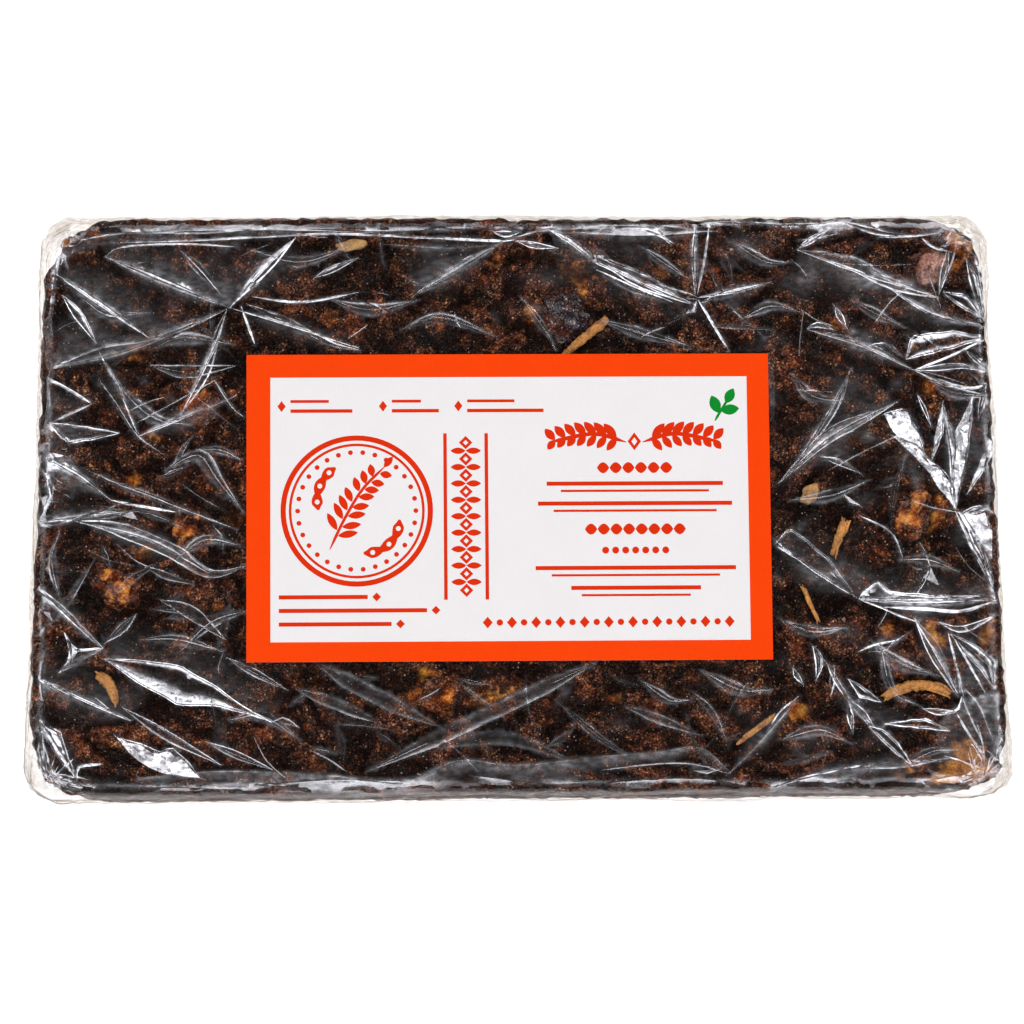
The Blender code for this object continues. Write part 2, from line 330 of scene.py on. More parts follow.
def make_mesh(name, points, faces, values=None, smooth=True):
    mesh = bpy.data.meshes.new(name)
    mesh.from_pydata((points * MM).tolist(), [], faces)
    mesh.update()
    for key, value in (values or {}).items():
        layer = mesh.attributes.new(key, "FLOAT", "POINT")
        layer.data.foreach_set("value", np.asarray(value, np.float32))
    if smooth:
        mesh.shade_smooth()
    else:
        mesh.shade_flat()
    obj = bpy.data.objects.new(name, mesh)
    bpy.context.scene.collection.objects.link(obj)
    return obj


# ----------------------------------------------------------- creases in the film


class Creases:
    """Patches of raised film, each a few triangles with values at every corner.

    The three values of a corner are its height in mm, how strongly it gleams and
    how milky it is.
    """

    def __init__(self):
        self.tris, self.values, self.layer = [], [], []
        self.points, self.edges = [], []

    def add_row_patch(self, rows, heights, gleams, hazes, layer):
        """rows: lines of points (k rows of n points); the values have the same shape."""
        rows = [straighten(r) for r in rows]
        n = len(rows[0])
        base = []
        for r in rows:
            base.append(len(self.points))
            self.points += [tuple(p) for p in r]
            self.edges += [(base[-1] + i, base[-1] + i + 1) for i in range(n - 1)]
        for k in range(len(rows) - 1):
            for i in range(n - 1):
                where = ((k, i), (k, i + 1), (k + 1, i + 1), (k + 1, i))
                for c in ((0, 1, 2), (0, 2, 3)):
                    at_ = [where[j] for j in c]
                    self.tris.append([rows[a][b] for a, b in at_])
                    self.values.append([(heights[a][b], gleams[a][b], hazes[a][b]) for a, b in at_])
                    self.layer.append(layer)

    def between(self, side_a, side_b, rim_a, rim_b, slope_a, slope_b, haze, gleam, layer=0):
        """A blister between two edge lines that meet at both ends.

        The skin leaves each edge steeply and bends level over the rim's width.
        """
        a, b = np.array(side_a, float), np.array(side_b, float)
        across = b - a
        w = np.maximum(np.hypot(across[:, 0], across[:, 1]), 1e-6)
        share = rim_a / (rim_a + rim_b)
        ra, rb = np.minimum(rim_a * 2.2, 0.94 * share * w), np.minimum(rim_b * 2.2, 0.94 * (1 - share) * w)
        unit = across / w[:, None]
        full = np.ones(len(a))
        ga, gb = min(1.0, slope_a / 0.42) ** 2 * gleam, min(1.0, slope_b / 0.42) ** 2 * gleam
        sa, sb = slope_a / 0.42 * steepness(a, -unit), slope_b / 0.42 * steepness(b, unit)
        steps = ((0.0, 0.0, 1.0, 1.0), (0.30, 0.30, 0.8, 1.0), (0.64, 0.52, 0.4, 0.8), (1.0, 0.60, 0.1, 0.6))
        if w.max() < 1.1:
            steps = (steps[0], steps[1], (1.0, 0.58, 0.3, 0.8))
        rows, highs, gleams, hazes = [], [], [], []
        for t, h, g, m in steps:
            rows.append(a + unit * (ra * t)[:, None])
            highs.append(sa * ra * h)
            gleams.append(full * ga * g)
            hazes.append(full * haze * m)
        for t, h, g, m in reversed(steps):
            rows.append(b - unit * (rb * t)[:, None])
            highs.append(sb * rb * h)
            gleams.append(full * gb * g)
            hazes.append(full * haze * m)
        self.add_row_patch(rows, highs, gleams, hazes, layer)

    def tent(self, points, left, right, slope_left=0.42, slope_right=0.42, haze=0.45, gleam=1.0, ends=(0.0, 0.0)):
        """A crest along (u, v) points whose skin sweeps down over left and right px beside it."""
        p = smooth_line([at(*q) for q in points], 1.1)
        n = len(p)
        t = np.linspace(0, 1, n)
        reach = np.clip(np.minimum(ends[0] + t / 0.4, ends[1] + (1 - t) / 0.4), 0.0, 1)
        side = left_of(p)
        dl, dr = left * 0.1695 * reach, right * 0.1695 * reach
        crest = np.minimum(slope_left / 0.42 * steepness(p, side) * dl, slope_right / 0.42 * steepness(p, -side) * dr) * 0.42
        crest = np.maximum(crest, 0.05 * reach)
        steps = ((1.0, 0.0, 0.0, 0.0), (0.62, 0.16, 0.10, 0.4), (0.34, 0.40, 0.30, 0.8), (0.14, 0.70, 0.65, 1.0))
        full = np.ones(n)
        rows, highs, gleams, hazes = [], [], [], []
        for f, h, g, m in steps:
            rows.append(p + side * (dl * f)[:, None])
            highs.append(crest * h)
            gleams.append(full * gleam * g)
            hazes.append(full * haze * m)
        rows.append(p)
        highs.append(crest)
        gleams.append(full * gleam)
        hazes.append(full * haze)
        for f, h, g, m in reversed(steps):
            rows.append(p - side * (dr * f)[:, None])
            highs.append(crest * h)
            gleams.append(full * gleam * g)
            hazes.append(full * haze * m)
        self.add_row_patch(rows, highs, gleams, hazes, 0)
        if gleam > 0.3:
            self.fold(p, 0.26, 0.42, 0.9 * gleam, 0.5, 0.2)

    def fold(self, p, width, slope=0.42, gleam=1.0, haze=0.4, tips=0.0):
        """A thin doubled fold along the points p, narrowing to its ends."""
        n = len(p)
        t = np.linspace(0, 1, n)
        wide = np.minimum(1, np.minimum(tips + t * 5, tips + (1 - t) * 5)) * width / 2
        left = left_of(p)
        side = left * wide[:, None]
        steep = (steepness(p, left) + steepness(p, -left)) / 2
        none, full = np.zeros(n), np.ones(n)
        self.add_row_patch(
            [p + side, p, p - side], [none, slope / 0.42 * steep * wide, none],
            [full * gleam * 0.8, full * gleam, full * gleam * 0.8], [full * haze] * 3, 1,
        )

    def line(self, points, width=0.5, slope=0.42, haze=0.4, gleam=0.75):
        """A thin crease along a line of (u, v) points."""
        self.fold(smooth_line([at(*q) for q in points], 0.9), width * 0.8, min(slope, 0.42), gleam, haze)

    def strip(self, points, width, rims=(0.45, 0.45), slopes=(0.5, 0.42), power=0.55, haze=0.35, tips=(0, 0), gleam=1.0, outlined=True):
        """A raised strip along a line of (u, v) points, as wide as `width` px half way."""
        p = smooth_line([at(*q) for q in points], 1.1)
        n = len(p)
        t = np.linspace(0, 1, n)
        lift = np.clip(np.minimum(t / (0.62 * power), (1 - t) / (0.85 * power)), 0, 1)
        lift = np.maximum(lift, tips[0] * (1 - t) + tips[1] * t)
        wide = width * 0.1695 / 2 * lift
        side = left_of(p) * wide[:, None]
        slopes = [min(k, 0.42) for k in slopes]
        self.between(p + side, p - side, rims[0], rims[1], slopes[0], slopes[1], haze, gleam)
        if outlined and width >= 5:
            self.fold(p + side, 0.26, 0.42, 0.8 * gleam, 0.4, 0.2)
            if width >= 12:
                self.fold(p - side, 0.22, 0.42, 0.35 * gleam, 0.4, 0.2)

    def lens(self, upper, lower, rims=(1.0, 1.0), slopes=(0.42, 0.42), haze=0.3, gleam=1.0):
        """A blister between two drawn lines with the same two ends."""
        a = straight_line([at(*q) for q in upper], 1.0)
        b = straight_line([at(*q) for q in lower], 1.0)
        n = max(len(a), len(b), 7)
        self.between(even(a, n), even(b, n), rims[0], rims[1], slopes[0], slopes[1], haze, gleam)
        self.fold(even(a, n), 0.3, 0.42, gleam, 0.5, 0.3)
        self.fold(even(b, n), 0.3, 0.42, gleam, 0.5, 0.3)

    def pane(self, low, high, haze=0.2, gleam=0.95):
        """A broad lit patch between two drawn lines: it climbs from one and drops past the other."""
        a = straight_line([at(*q) for q in low], 1.0)
        b = straight_line([at(*q) for q in high], 1.0)
        n = max(len(a), len(b), 8)
        a, b = even(a, n), even(b, n)
        across = b - a
        w = np.maximum(np.hypot(across[:, 0], across[:, 1]), 1e-6)
        unit = across / w[:, None]
        rise = steepness((a + b) / 2, -unit) * w
        rows, highs, gleams, hazes = [], [], [], []
        wave = 0.10 * np.sin(np.linspace(0, 9 + len(a), n) + a[0, 0])
        for k, (t, h, g) in enumerate(((0.0, 0.0, 0.8), (0.25, 0.22, 1.0), (0.55, 0.52, 0.9), (0.84, 0.80, 1.0), (1.0, 0.0, 0.6))):
            rows.append(a + across * np.clip(t + (wave * 0.5 if 0 < t < 1 else 0), 0, 1)[:, None] if 0 < t < 1 else a + across * t)
            highs.append(rise * h * (1 + (wave if k % 2 else -wave)))
            gleams.append(np.full(n, gleam * g))
            hazes.append(np.full(n, haze))
        self.add_row_patch(rows, highs, gleams, hazes, 0)
        self.fold(b, 0.24, 0.42, gleam * 0.8, 0.4, 0.3)

    def facet(self, corners, haze=0.3, skirt=0.3, gleam=0.4):
        """A flat face raised as at its (u, v, height) corners, as steep as a lamp asks."""
        p = np.array([at(u, v) for u, v, _ in corners])
        h = np.array([c[2] for c in corners])
        fit = np.linalg.lstsq(np.column_stack([p - p.mean(0), np.ones(len(p))]), h, rcond=None)[0]
        slope = math.hypot(fit[0], fit[1])
        way = -fit[:2] / slope
        h = (h - h.min()) * (steepness(p.mean(0)[None], way[None])[0] / slope) + 0.02
        p = straighten(p)
        centre, mid = p.mean(0), h.mean()
        lit = gleam * (0.15 + 0.85 * h / h.max())
        out = p + (p - centre) / np.linalg.norm(p - centre, axis=1)[:, None] * skirt
        n = len(p)
        base = len(self.points)
        self.points += [tuple(x) for x in p] + [tuple(x) for x in out]
        for i in range(n):
            j = (i + 1) % n
            self.edges += [(base + i, base + j), (base + n + i, base + n + j)]
            for tri, hs, gs in (
                ((p[i], p[j], centre), (h[i], h[j], mid), (lit[i], lit[j], gleam * 0.35)),
                ((p[i], p[j], out[j]), (h[i], h[j], 0.0), (lit[i] * 0.5, lit[j] * 0.5, 0.1)),
                ((p[i], out[j], out[i]), (h[i], 0.0, 0.0), (lit[i] * 0.5, 0.1, 0.1)),
            ):
                self.tris.append(list(tri))
                self.values.append([(hs[k], gs[k], haze) for k in range(3)])
                self.layer.append(0)

    def veil(self, corners, haze=0.6):
        """A patch where the film only hangs free: no edge, but milky."""
        p = straighten([at(u, v) for u, v in corners])
        centre = p.mean(0)
        for i in range(len(p)):
            j = (i + 1) % len(p)
            self.tris.append([p[i], p[j], centre])
            self.values.append([(0.0, 0.0, 0.0), (0.0, 0.0, 0.0), (0.0, 0.0, haze)])
            self.layer.append(2)

    def sweep(self, edge, far, haze=0.5):
        """A veil that fades from a drawn edge to nothing at the far line."""
        a, b = [even(smooth_line([at(*q) for q in line], 2.0), 8) for line in (edge, far)]
        a, b = straighten(a), straighten(b)
        for i in range(7):
            for tri, h in (((a[i], a[i + 1], b[i + 1]), (1, 1, 0)), ((a[i], b[i + 1], b[i]), (1, 0, 0))):
                self.tris.append(list(tri))
                self.values.append([(0.0, 0.0, haze * k) for k in h])
                self.layer.append(2)

    def measure(self, q):
        """Height, haze, gleam and how far the film hangs free, at the flat points q."""
        broad, fine, free = np.zeros(len(q)), np.zeros(len(q)), np.zeros(len(q))
        haze, gleam = np.zeros(len(q)), np.zeros(len(q))
        order = np.argsort(q[:, 0])
        xs = q[order, 0]
        for tri, values, layer in zip(self.tris, self.values, self.layer):
            t, values = np.array(tri), np.array(values)
            d = (t[1, 0] - t[0, 0]) * (t[2, 1] - t[0, 1]) - (t[2, 0] - t[0, 0]) * (t[1, 1] - t[0, 1])
            if abs(d) < 1e-7:
                continue
            i0, i1 = np.searchsorted(xs, (t[:, 0].min() - 1e-4, t[:, 0].max() + 1e-4))
            near = order[i0:i1]
            p = q[near]
            inside_y = (p[:, 1] >= t[:, 1].min() - 1e-4) & (p[:, 1] <= t[:, 1].max() + 1e-4)
            near, p = near[inside_y], p[inside_y]
            if not len(near):
                continue
            b = ((p[:, 0] - t[0, 0]) * (t[2, 1] - t[0, 1]) - (t[2, 0] - t[0, 0]) * (p[:, 1] - t[0, 1])) / d
            c = ((t[1, 0] - t[0, 0]) * (p[:, 1] - t[0, 1]) - (p[:, 0] - t[0, 0]) * (t[1, 1] - t[0, 1])) / d
            a = 1 - b - c
            hit = (a > -1e-4) & (b > -1e-4) & (c > -1e-4)
            near = near[hit]
            h, g, m = (np.column_stack([a, b, c])[hit] @ values).T
            haze[near] = np.maximum(haze[near], m)
            gleam[near] = np.maximum(gleam[near], g)
            if layer == 0:
                broad[near] = np.maximum(broad[near], h)
                free[near] = 1.0
            elif layer == 1:
                fine[near] = np.maximum(fine[near], h)
            else:
                free[near] = np.maximum(free[near], np.minimum(m * 2.0, 1))
        return broad + fine, haze, gleam, free


def smooth_line(points, step):
    """Points along a smooth line through the given ones, about step mm apart."""
    p = np.array(points, float)
    if len(p) == 2:
        n = max(6, int(np.linalg.norm(p[1] - p[0]) / step) + 1)
        t = np.linspace(0, 1, n)[:, None]
        return p[0] * (1 - t) + p[1] * t
    out = []
    for i in range(len(p) - 1):
        before = p[i - 1] if i else 2 * p[0] - p[1]
        after = p[i + 2] if i + 2 < len(p) else 2 * p[-1] - p[-2]
        n = max(2, int(np.linalg.norm(p[i + 1] - p[i]) / step))
        for s in range(n):
            t = s / n
            out.append(
                0.5 * (2 * p[i] + (p[i + 1] - before) * t
                       + (2 * before - 5 * p[i] + 4 * p[i + 1] - after) * t * t
                       + (3 * p[i] - before - 3 * p[i + 1] + after) * t ** 3)
            )
    out.append(p[-1])
    return even(np.array(out), max(6, len(out)))


def straight_line(points, step):
    """Points along the straight legs between the given ones, their corners kept."""
    p = np.array(points, float)
    out = [p[:1]]
    for a, b in zip(p[:-1], p[1:]):
        n = max(2, int(np.linalg.norm(b - a) / step))
        out.append(a + (b - a) * (np.arange(1, n + 1) / n)[:, None])
    out = np.vstack(out)
    # a film's fold bends a little, even between its corners
    side = left_of(out)
    run = np.linspace(0, 1, len(out))
    return out + side * (0.10 * np.sin(run * 23 + p[0, 0]) * np.sin(np.pi * run))[:, None]


def even(p, n):
    """The line resampled to n evenly spaced points."""
    run = np.concatenate([[0], np.cumsum(np.hypot(*np.diff(p, axis=0).T))])
    s = np.linspace(0, run[-1], n)
    return np.column_stack([np.interp(s, run, p[:, 0]), np.interp(s, run, p[:, 1])])


def left_of(p):
    d = np.gradient(p, axis=0)
    d /= np.maximum(np.hypot(d[:, 0], d[:, 1]), 1e-9)[:, None]
    return np.column_stack([-d[:, 1], d[:, 0]])


LAMP_DOWN = math.radians(45)  # the lamps stand this far off straight up


def steepness(p, way):
    """How steep a fold at p that falls towards `way` must be to mirror a lamp."""
    to_eye = EYE[:2] - p
    w = to_eye / (EYE[2] - 28.0)
    along = (w * way).sum(1)
    t = 0.5 * (along + np.sqrt(np.maximum(along ** 2 - (w ** 2).sum(1) + LAMP_DOWN ** 2, 0.01)))
    return np.tan(np.clip(t, 0.2, 0.55))


def lay_creases():
    c = Creases()
    # upper left
    c.strip([(106, 257), (168, 284), (230, 308)], 7, rims=(0.4, 0.7), slopes=(0.3, 0.45))
    c.strip([(53, 272), (100, 305), (149, 338)], 6, rims=(0.4, 0.6), slopes=(0.5, 0.45), haze=0.5)
    c.line([(54, 368), (99, 348), (149, 340), (191, 326), (230, 308)], 0.6, 0.5)
    c.strip([(62, 295), (80, 318), (96, 343)], 9, rims=(0.8, 0.4), slopes=(0.4, 0.5), haze=0.5)
    c.strip([(296, 237), (262, 272), (230, 308)], 9, rims=(0.5, 0.8), slopes=(0.45, 0.42))
    c.facet([(238, 298, 0.1), (250, 284, 0.62), (262, 284, 0.1)])
    c.strip([(227, 309), (216, 336), (204, 377), (181, 414)], 8, rims=(0.4, 0.5), slopes=(0.4, 0.3))
    c.line([(241, 306), (255, 345)], 0.5, 0.5)
    c.strip([(248, 305), (282, 320), (328, 343), (358, 350)], 9, rims=(0.5, 0.3), slopes=(0.28, 0.45), haze=0.45, gleam=0.6)
    c.line([(252, 297), (303, 302), (360, 292)], 0.5, 0.45)
    c.line([(42, 376), (66, 388), (92, 404)], 0.6, 0.5)
    c.line([(92, 404), (74, 412), (50, 423)], 0.45, 0.45, 0.5, 0.5)
    c.veil([(46, 380), (92, 404), (50, 423), (42, 400)], 0.5)
    c.lens([(50, 423), (84, 427), (119, 433)], [(50, 423), (60, 436), (69, 443), (92, 439), (119, 433)], rims=(0.4, 0.4), slopes=(0.2, 0.3), haze=0.5, gleam=0.7)
    c.strip([(140, 436), (160, 427), (179, 419)], 5, rims=(0.4, 0.4))
    c.line([(99, 352), (120, 392), (138, 435)], 0.4, 0.35)
    c.line([(78, 240), (130, 232), (200, 233), (262, 228)], 0.45, 0.4, 0.5, 0.6)
    c.line([(110, 243), (200, 240), (330, 234), (430, 238), (514, 241)], 0.5, 0.45, 0.5, 0.55)
    c.line([(300, 229), (390, 231), (480, 228)], 0.4, 0.35, 0.5, 0.35)
    c.line([(104, 257), (122, 247), (180, 244), (236, 247)], 0.4, 0.4, 0.5, 0.5)
    c.strip([(314, 278), (336, 268), (358, 258)], 6, rims=(0.5, 0.4), slopes=(0.45, 0.45))
    c.line([(64, 240), (58, 262), (52, 300)], 0.6, 0.45)
    c.facet([(40, 446, 0.1), (50, 444, 0.5), (46, 460, 0.1)], haze=0.5)
    # upper middle
    c.strip([(413, 296), (430, 287), (470, 262), (504, 241)], 10, rims=(0.3, 0.35), slopes=(0.6, 0.5), haze=0.5)
    c.line([(430, 238), (504, 241), (516, 239)], 0.6, 0.5)
    c.strip([(492, 231), (506, 234), (521, 232)], 8, rims=(0.45, 0.45), slopes=(0.5, 0.5))
    c.strip([(516, 241), (536, 246), (557, 248)], 6, rims=(0.4, 0.4))
    c.line([(516, 237), (550, 229), (610, 226), (674, 227)], 0.7, 0.5, haze=0.8)
    c.strip([(552, 230), (575, 247), (598, 264)], 9, rims=(0.35, 0.5), slopes=(0.55, 0.45), haze=0.4)
    c.facet([(585, 248, 0.1), (600, 250, 0.5), (613, 261, 0.1), (598, 262, 0.1)], haze=0.3)
    c.strip([(597, 260), (645, 283), (693, 305)], 13, rims=(0.4, 0.35), slopes=(0.55, 0.6), haze=0.42, tips=(0.6, 0))
    c.line([(607, 259), (640, 272), (672, 290)], 0.35, 0.4)
    c.line([(605, 266), (645, 286), (684, 303)], 0.3, 0.3)
    c.strip([(597, 270), (630, 289), (672, 302)], 7, rims=(0.4, 0.75), slopes=(0.35, 0.45))
    c.facet([(667, 324, 0.05), (683, 312, 0.5), (697, 300, 0.15), (694, 313, 0.1)], haze=0.15)
    c.strip([(695, 226), (694, 258), (695, 294)], 6, rims=(0.35, 0.35), slopes=(0.6, 0.6), haze=0.5)
    c.line([(709, 226), (704, 262), (697, 295)], 0.5, 0.5)
    c.line([(643, 229), (660, 236), (675, 244)], 0.5, 0.5)
    c.line([(657, 229), (664, 237), (671, 245)], 0.5, 0.5)
    c.line([(696, 296), (676, 290), (660, 284)], 0.45, 0.4)
    c.strip([(700, 303), (738, 291), (771, 282)], 7, rims=(0.5, 0.4), slopes=(0.45, 0.5))
    c.line([(697, 298), (714, 326), (730, 352)], 0.55, 0.5)
    c.veil([(502, 276), (530, 264), (575, 263), (594, 276), (565, 292), (510, 292)], 0.55)
    # upper right
    c.line([(702, 222), (799, 224), (839, 221)], 0.6, 0.5)
    c.strip([(843, 221), (878, 232), (911, 236)], 7, rims=(0.4, 0.7), slopes=(0.5, 0.4))
    c.line([(878, 237), (911, 236), (943, 232)], 0.5, 0.5)
    c.strip([(798, 249), (812, 240), (829, 229)], 6, rims=(0.5, 0.45))
    c.lens(
        [(797, 250), (853, 256), (900, 282), (939, 298)],
        [(797, 250), (850, 270), (895, 291), (939, 298)],
        rims=(0.5, 0.6), slopes=(0.22, 0.3), haze=0.7, gleam=0.5,
    )
    c.strip([(886, 286), (919, 306), (955, 321), (984, 326)], 6, rims=(0.4, 0.6), slopes=(0.5, 0.44))
    c.line([(922, 238), (933, 247), (948, 251)], 0.6, 0.5)
    c.strip([(948, 251), (944, 270), (939, 294)], 7, rims=(0.6, 0.5), slopes=(0.42, 0.5), tips=(0.5, 0))
    c.strip([(966, 258), (976, 288), (985, 319)], 8, rims=(0.3, 0.3), slopes=(0.6, 0.55))
    c.line([(976, 263), (982, 290), (986, 318)], 0.5, 0.5)
    c.lens([(943, 292), (967, 295), (984, 318)], [(943, 292), (960, 306), (984, 318)], rims=(0.7, 0.5))
    c.lens(
        [(906, 359), (912, 336), (952, 331), (986, 337)],
        [(906, 359), (930, 353), (955, 347), (986, 337)],
        rims=(1.1, 0.8), slopes=(0.42, 0.44), haze=0.15,
    )
    c.strip([(868, 346), (886, 345), (904, 358)], 5, rims=(0.4, 0.4))
    c.strip([(807, 329), (818, 325), (834, 330)], 5, rims=(0.45, 0.4))
    c.strip([(835, 307), (839, 316), (846, 327)], 6, rims=(0.5, 0.5))
    c.strip([(809, 330), (863, 347), (914, 370)], 10, rims=(0.35, 0.5), slopes=(0.3, 0.35), haze=0.55, gleam=0.5)
    c.strip([(914, 370), (940, 368), (959, 366), (987, 371)], 6, rims=(0.4, 0.5))
    c.line([(914, 370), (950, 356), (985, 339)], 0.5, 0.55)
    c.line([(914, 370), (940, 381), (975, 388), (993, 377)], 0.6, 0.5)
    c.strip([(966, 351), (980, 362), (990, 370)], 5, rims=(0.4, 0.4), slopes=(0.4, 0.5))
    # right
    c.strip([(893, 405), (858, 421), (823, 440), (778, 484)], 13, rims=(0.35, 0.5), slopes=(0.35, 0.3), haze=0.6, gleam=0.4)
    c.strip([(850, 369), (838, 400), (811, 448)], 7, rims=(0.3, 0.35), slopes=(0.5, 0.35), haze=0.5, gleam=0.35)
    c.pane([(884, 414), (893, 432), (908, 446), (926, 458)], [(884, 414), (905, 408), (917, 430), (926, 458)])
    c.strip([(917, 394), (924, 408), (931, 426)], 4, rims=(0.3, 0.35))
    c.pane([(943, 402), (936, 430), (931, 462)], [(943, 402), (943, 432), (931, 462)])
    c.strip([(943, 404), (948, 426), (953, 446), (952, 476)], 6, rims=(0.4, 0.45))
    c.pane([(973, 396), (955, 432), (950, 464), (951, 488), (956, 509)], [(973, 396), (971, 425), (966, 464), (960, 488), (956, 509)])
    c.strip([(987, 384), (982, 400), (978, 420)], 5, rims=(0.4, 0.4))
    c.pane([(997, 427), (982, 457), (967, 494)], [(997, 427), (990, 460), (967, 494)], haze=0.3, gleam=0.8)
    c.strip([(997, 429), (990, 452), (979, 478)], 5, rims=(0.4, 0.4))
    c.pane([(893, 436), (915, 457), (927, 470), (940, 489), (956, 509)], [(893, 436), (914, 444), (933, 462), (948, 476), (954, 490), (956, 509)])
    c.line([(954, 508), (972, 546), (994, 590)], 0.6, 0.5)
    c.strip([(821, 457), (840, 463), (861, 474)], 6, rims=(0.4, 0.4), slopes=(0.35, 0.4), gleam=0.5)
    c.facet([(842, 493, 0.05), (860, 506, 0.4), (850, 503, 0.05)])
    c.line([(858, 515), (890, 532), (903, 558)], 0.4, 0.35)
    c.pane([(958, 512), (968, 530), (980, 542), (993, 556)], [(958, 512), (974, 514), (984, 512), (991, 530), (993, 556)], haze=0.4, gleam=0.75)
    c.strip([(960, 514), (984, 508), (993, 512)], 6, rims=(0.5, 0.5), gleam=0.8)
    c.strip([(964, 532), (976, 552), (988, 574)], 5, rims=(0.4, 0.4), gleam=0.7)
    c.strip([(963, 515), (978, 546), (992, 577)], 6, rims=(0.4, 0.4))
    c.strip([(920, 543), (926, 568), (917, 594)], 8, rims=(0.5, 0.5), slopes=(0.25, 0.25), haze=0.5, gleam=0.3)
    c.facet([(924, 577, 0.08), (930, 568, 0.42), (939, 585, 0.05)])
    c.lens(
        [(774, 545), (800, 560), (828, 580), (857, 598)],
        [(774, 545), (790, 528), (826, 556), (857, 598)],
        rims=(0.5, 0.35), slopes=(0.3, 0.3), haze=0.6, gleam=0.35,
    )
    c.line([(859, 598), (868, 589), (879, 582)], 0.5, 0.6)
    c.lens([(879, 582), (890, 592), (935, 596), (979, 596)], [(859, 599), (890, 600), (935, 601), (979, 596)], rims=(0.45, 0.4), slopes=(0.5, 0.5), haze=0.4)
    c.line([(883, 607), (925, 609), (962, 611), (998, 600)], 0.7, 0.5)
    c.line([(860, 600), (880, 607), (905, 618), (920, 622)], 0.4, 0.5)
    c.strip([(900, 600), (950, 603), (996, 599)], 6, rims=(0.35, 0.35), slopes=(0.6, 0.5), haze=0.5)
    c.strip([(939, 622), (962, 630), (998, 615)], 6, rims=(0.4, 0.5))
    c.strip([(915, 619), (934, 650), (958, 697)], 13, rims=(0.4, 0.45), slopes=(0.3, 0.4), haze=0.6, gleam=0.45)
    c.line([(948, 632), (956, 664), (964, 698)], 0.5, 0.5)
    c.lens([(951, 634), (975, 645), (994, 661), (994, 687)], [(951, 634), (964, 652), (980, 668), (994, 687)], rims=(0.7, 0.7), haze=0.3)
    c.line([(953, 636), (968, 662), (986, 694)], 0.5, 0.5)
    c.line([(899, 640), (874, 645), (858, 652)], 0.4, 0.35)
    # lower right
    c.strip([(812, 645), (819, 660), (816, 680)], 8, rims=(0.6, 0.5))
    c.strip([(793, 668), (796, 676), (803, 684)], 5, rims=(0.4, 0.4))
    c.strip([(834, 667), (832, 680), (831, 695)], 5, rims=(0.4, 0.4))
    c.lens([(848, 679), (862, 687), (881, 702)], [(848, 679), (860, 697), (881, 702)], rims=(0.5, 0.5))
    c.line([(827, 664), (836, 684), (852, 704), (869, 726)], 0.5, 0.4)
    c.strip([(849, 704), (850, 718), (853, 733)], 6, rims=(0.45, 0.45))
    c.strip([(852, 701), (862, 713), (873, 725)], 6, rims=(0.4, 0.45))
    c.lens([(869, 726), (885, 731), (898, 744), (913, 766)], [(869, 726), (880, 738), (895, 752), (913, 766)], rims=(0.6, 0.6), haze=0.15)
    c.lens([(885, 724), (925, 719), (950, 731)], [(885, 724), (925, 728), (950, 731)], rims=(0.6, 0.5))
    c.strip([(923, 709), (940, 713), (956, 711)], 6, rims=(0.5, 0.4))
    c.line([(962, 696), (957, 711), (940, 713)], 0.5, 0.5)
    c.line([(962, 696), (970, 716), (984, 744)], 0.55, 0.5)
    c.line([(966, 690), (980, 706), (992, 738)], 0.55, 0.5)
    c.line([(956, 712), (966, 730), (988, 762)], 0.5, 0.45)
    c.strip([(770, 727), (784, 712), (799, 696)], 6, rims=(0.3, 0.4), slopes=(0.35, 0.4), haze=0.5)
    c.line([(770, 788), (842, 769), (898, 767), (950, 758)], 0.6, 0.4)
    # lower middle: broad bands of free film
    c.strip([(315, 663), (376, 696), (440, 727)], 16, rims=(0.6, 0.5), slopes=(0.24, 0.26), haze=0.62, power=0.4, gleam=0.05, outlined=False)
    c.strip([(296, 689), (340, 706), (382, 724)], 11, rims=(0.5, 0.4), slopes=(0.24, 0.26), haze=0.58, power=0.4, gleam=0.05, outlined=False)
    c.strip([(597, 662), (480, 718), (366, 772)], 15, rims=(0.5, 0.5), slopes=(0.28, 0.24), haze=0.62, power=0.35, gleam=0.05, outlined=False)
    c.strip([(433, 748), (504, 738), (575, 762)], 14, rims=(0.5, 0.5), slopes=(0.25, 0.2), haze=0.58, power=0.5, gleam=0.05, outlined=False)
    c.strip([(624, 706), (662, 720), (702, 736)], 10, rims=(0.5, 0.5), slopes=(0.3, 0.25), haze=0.6, gleam=0.05, outlined=False)
    c.strip([(556, 700), (600, 738), (640, 762)], 8, rims=(0.4, 0.4), slopes=(0.25, 0.25), haze=0.5, gleam=0.05, outlined=False)
    c.strip([(690, 690), (712, 712), (728, 745)], 7, rims=(0.4, 0.4), slopes=(0.3, 0.25), haze=0.5, gleam=0.05, outlined=False)
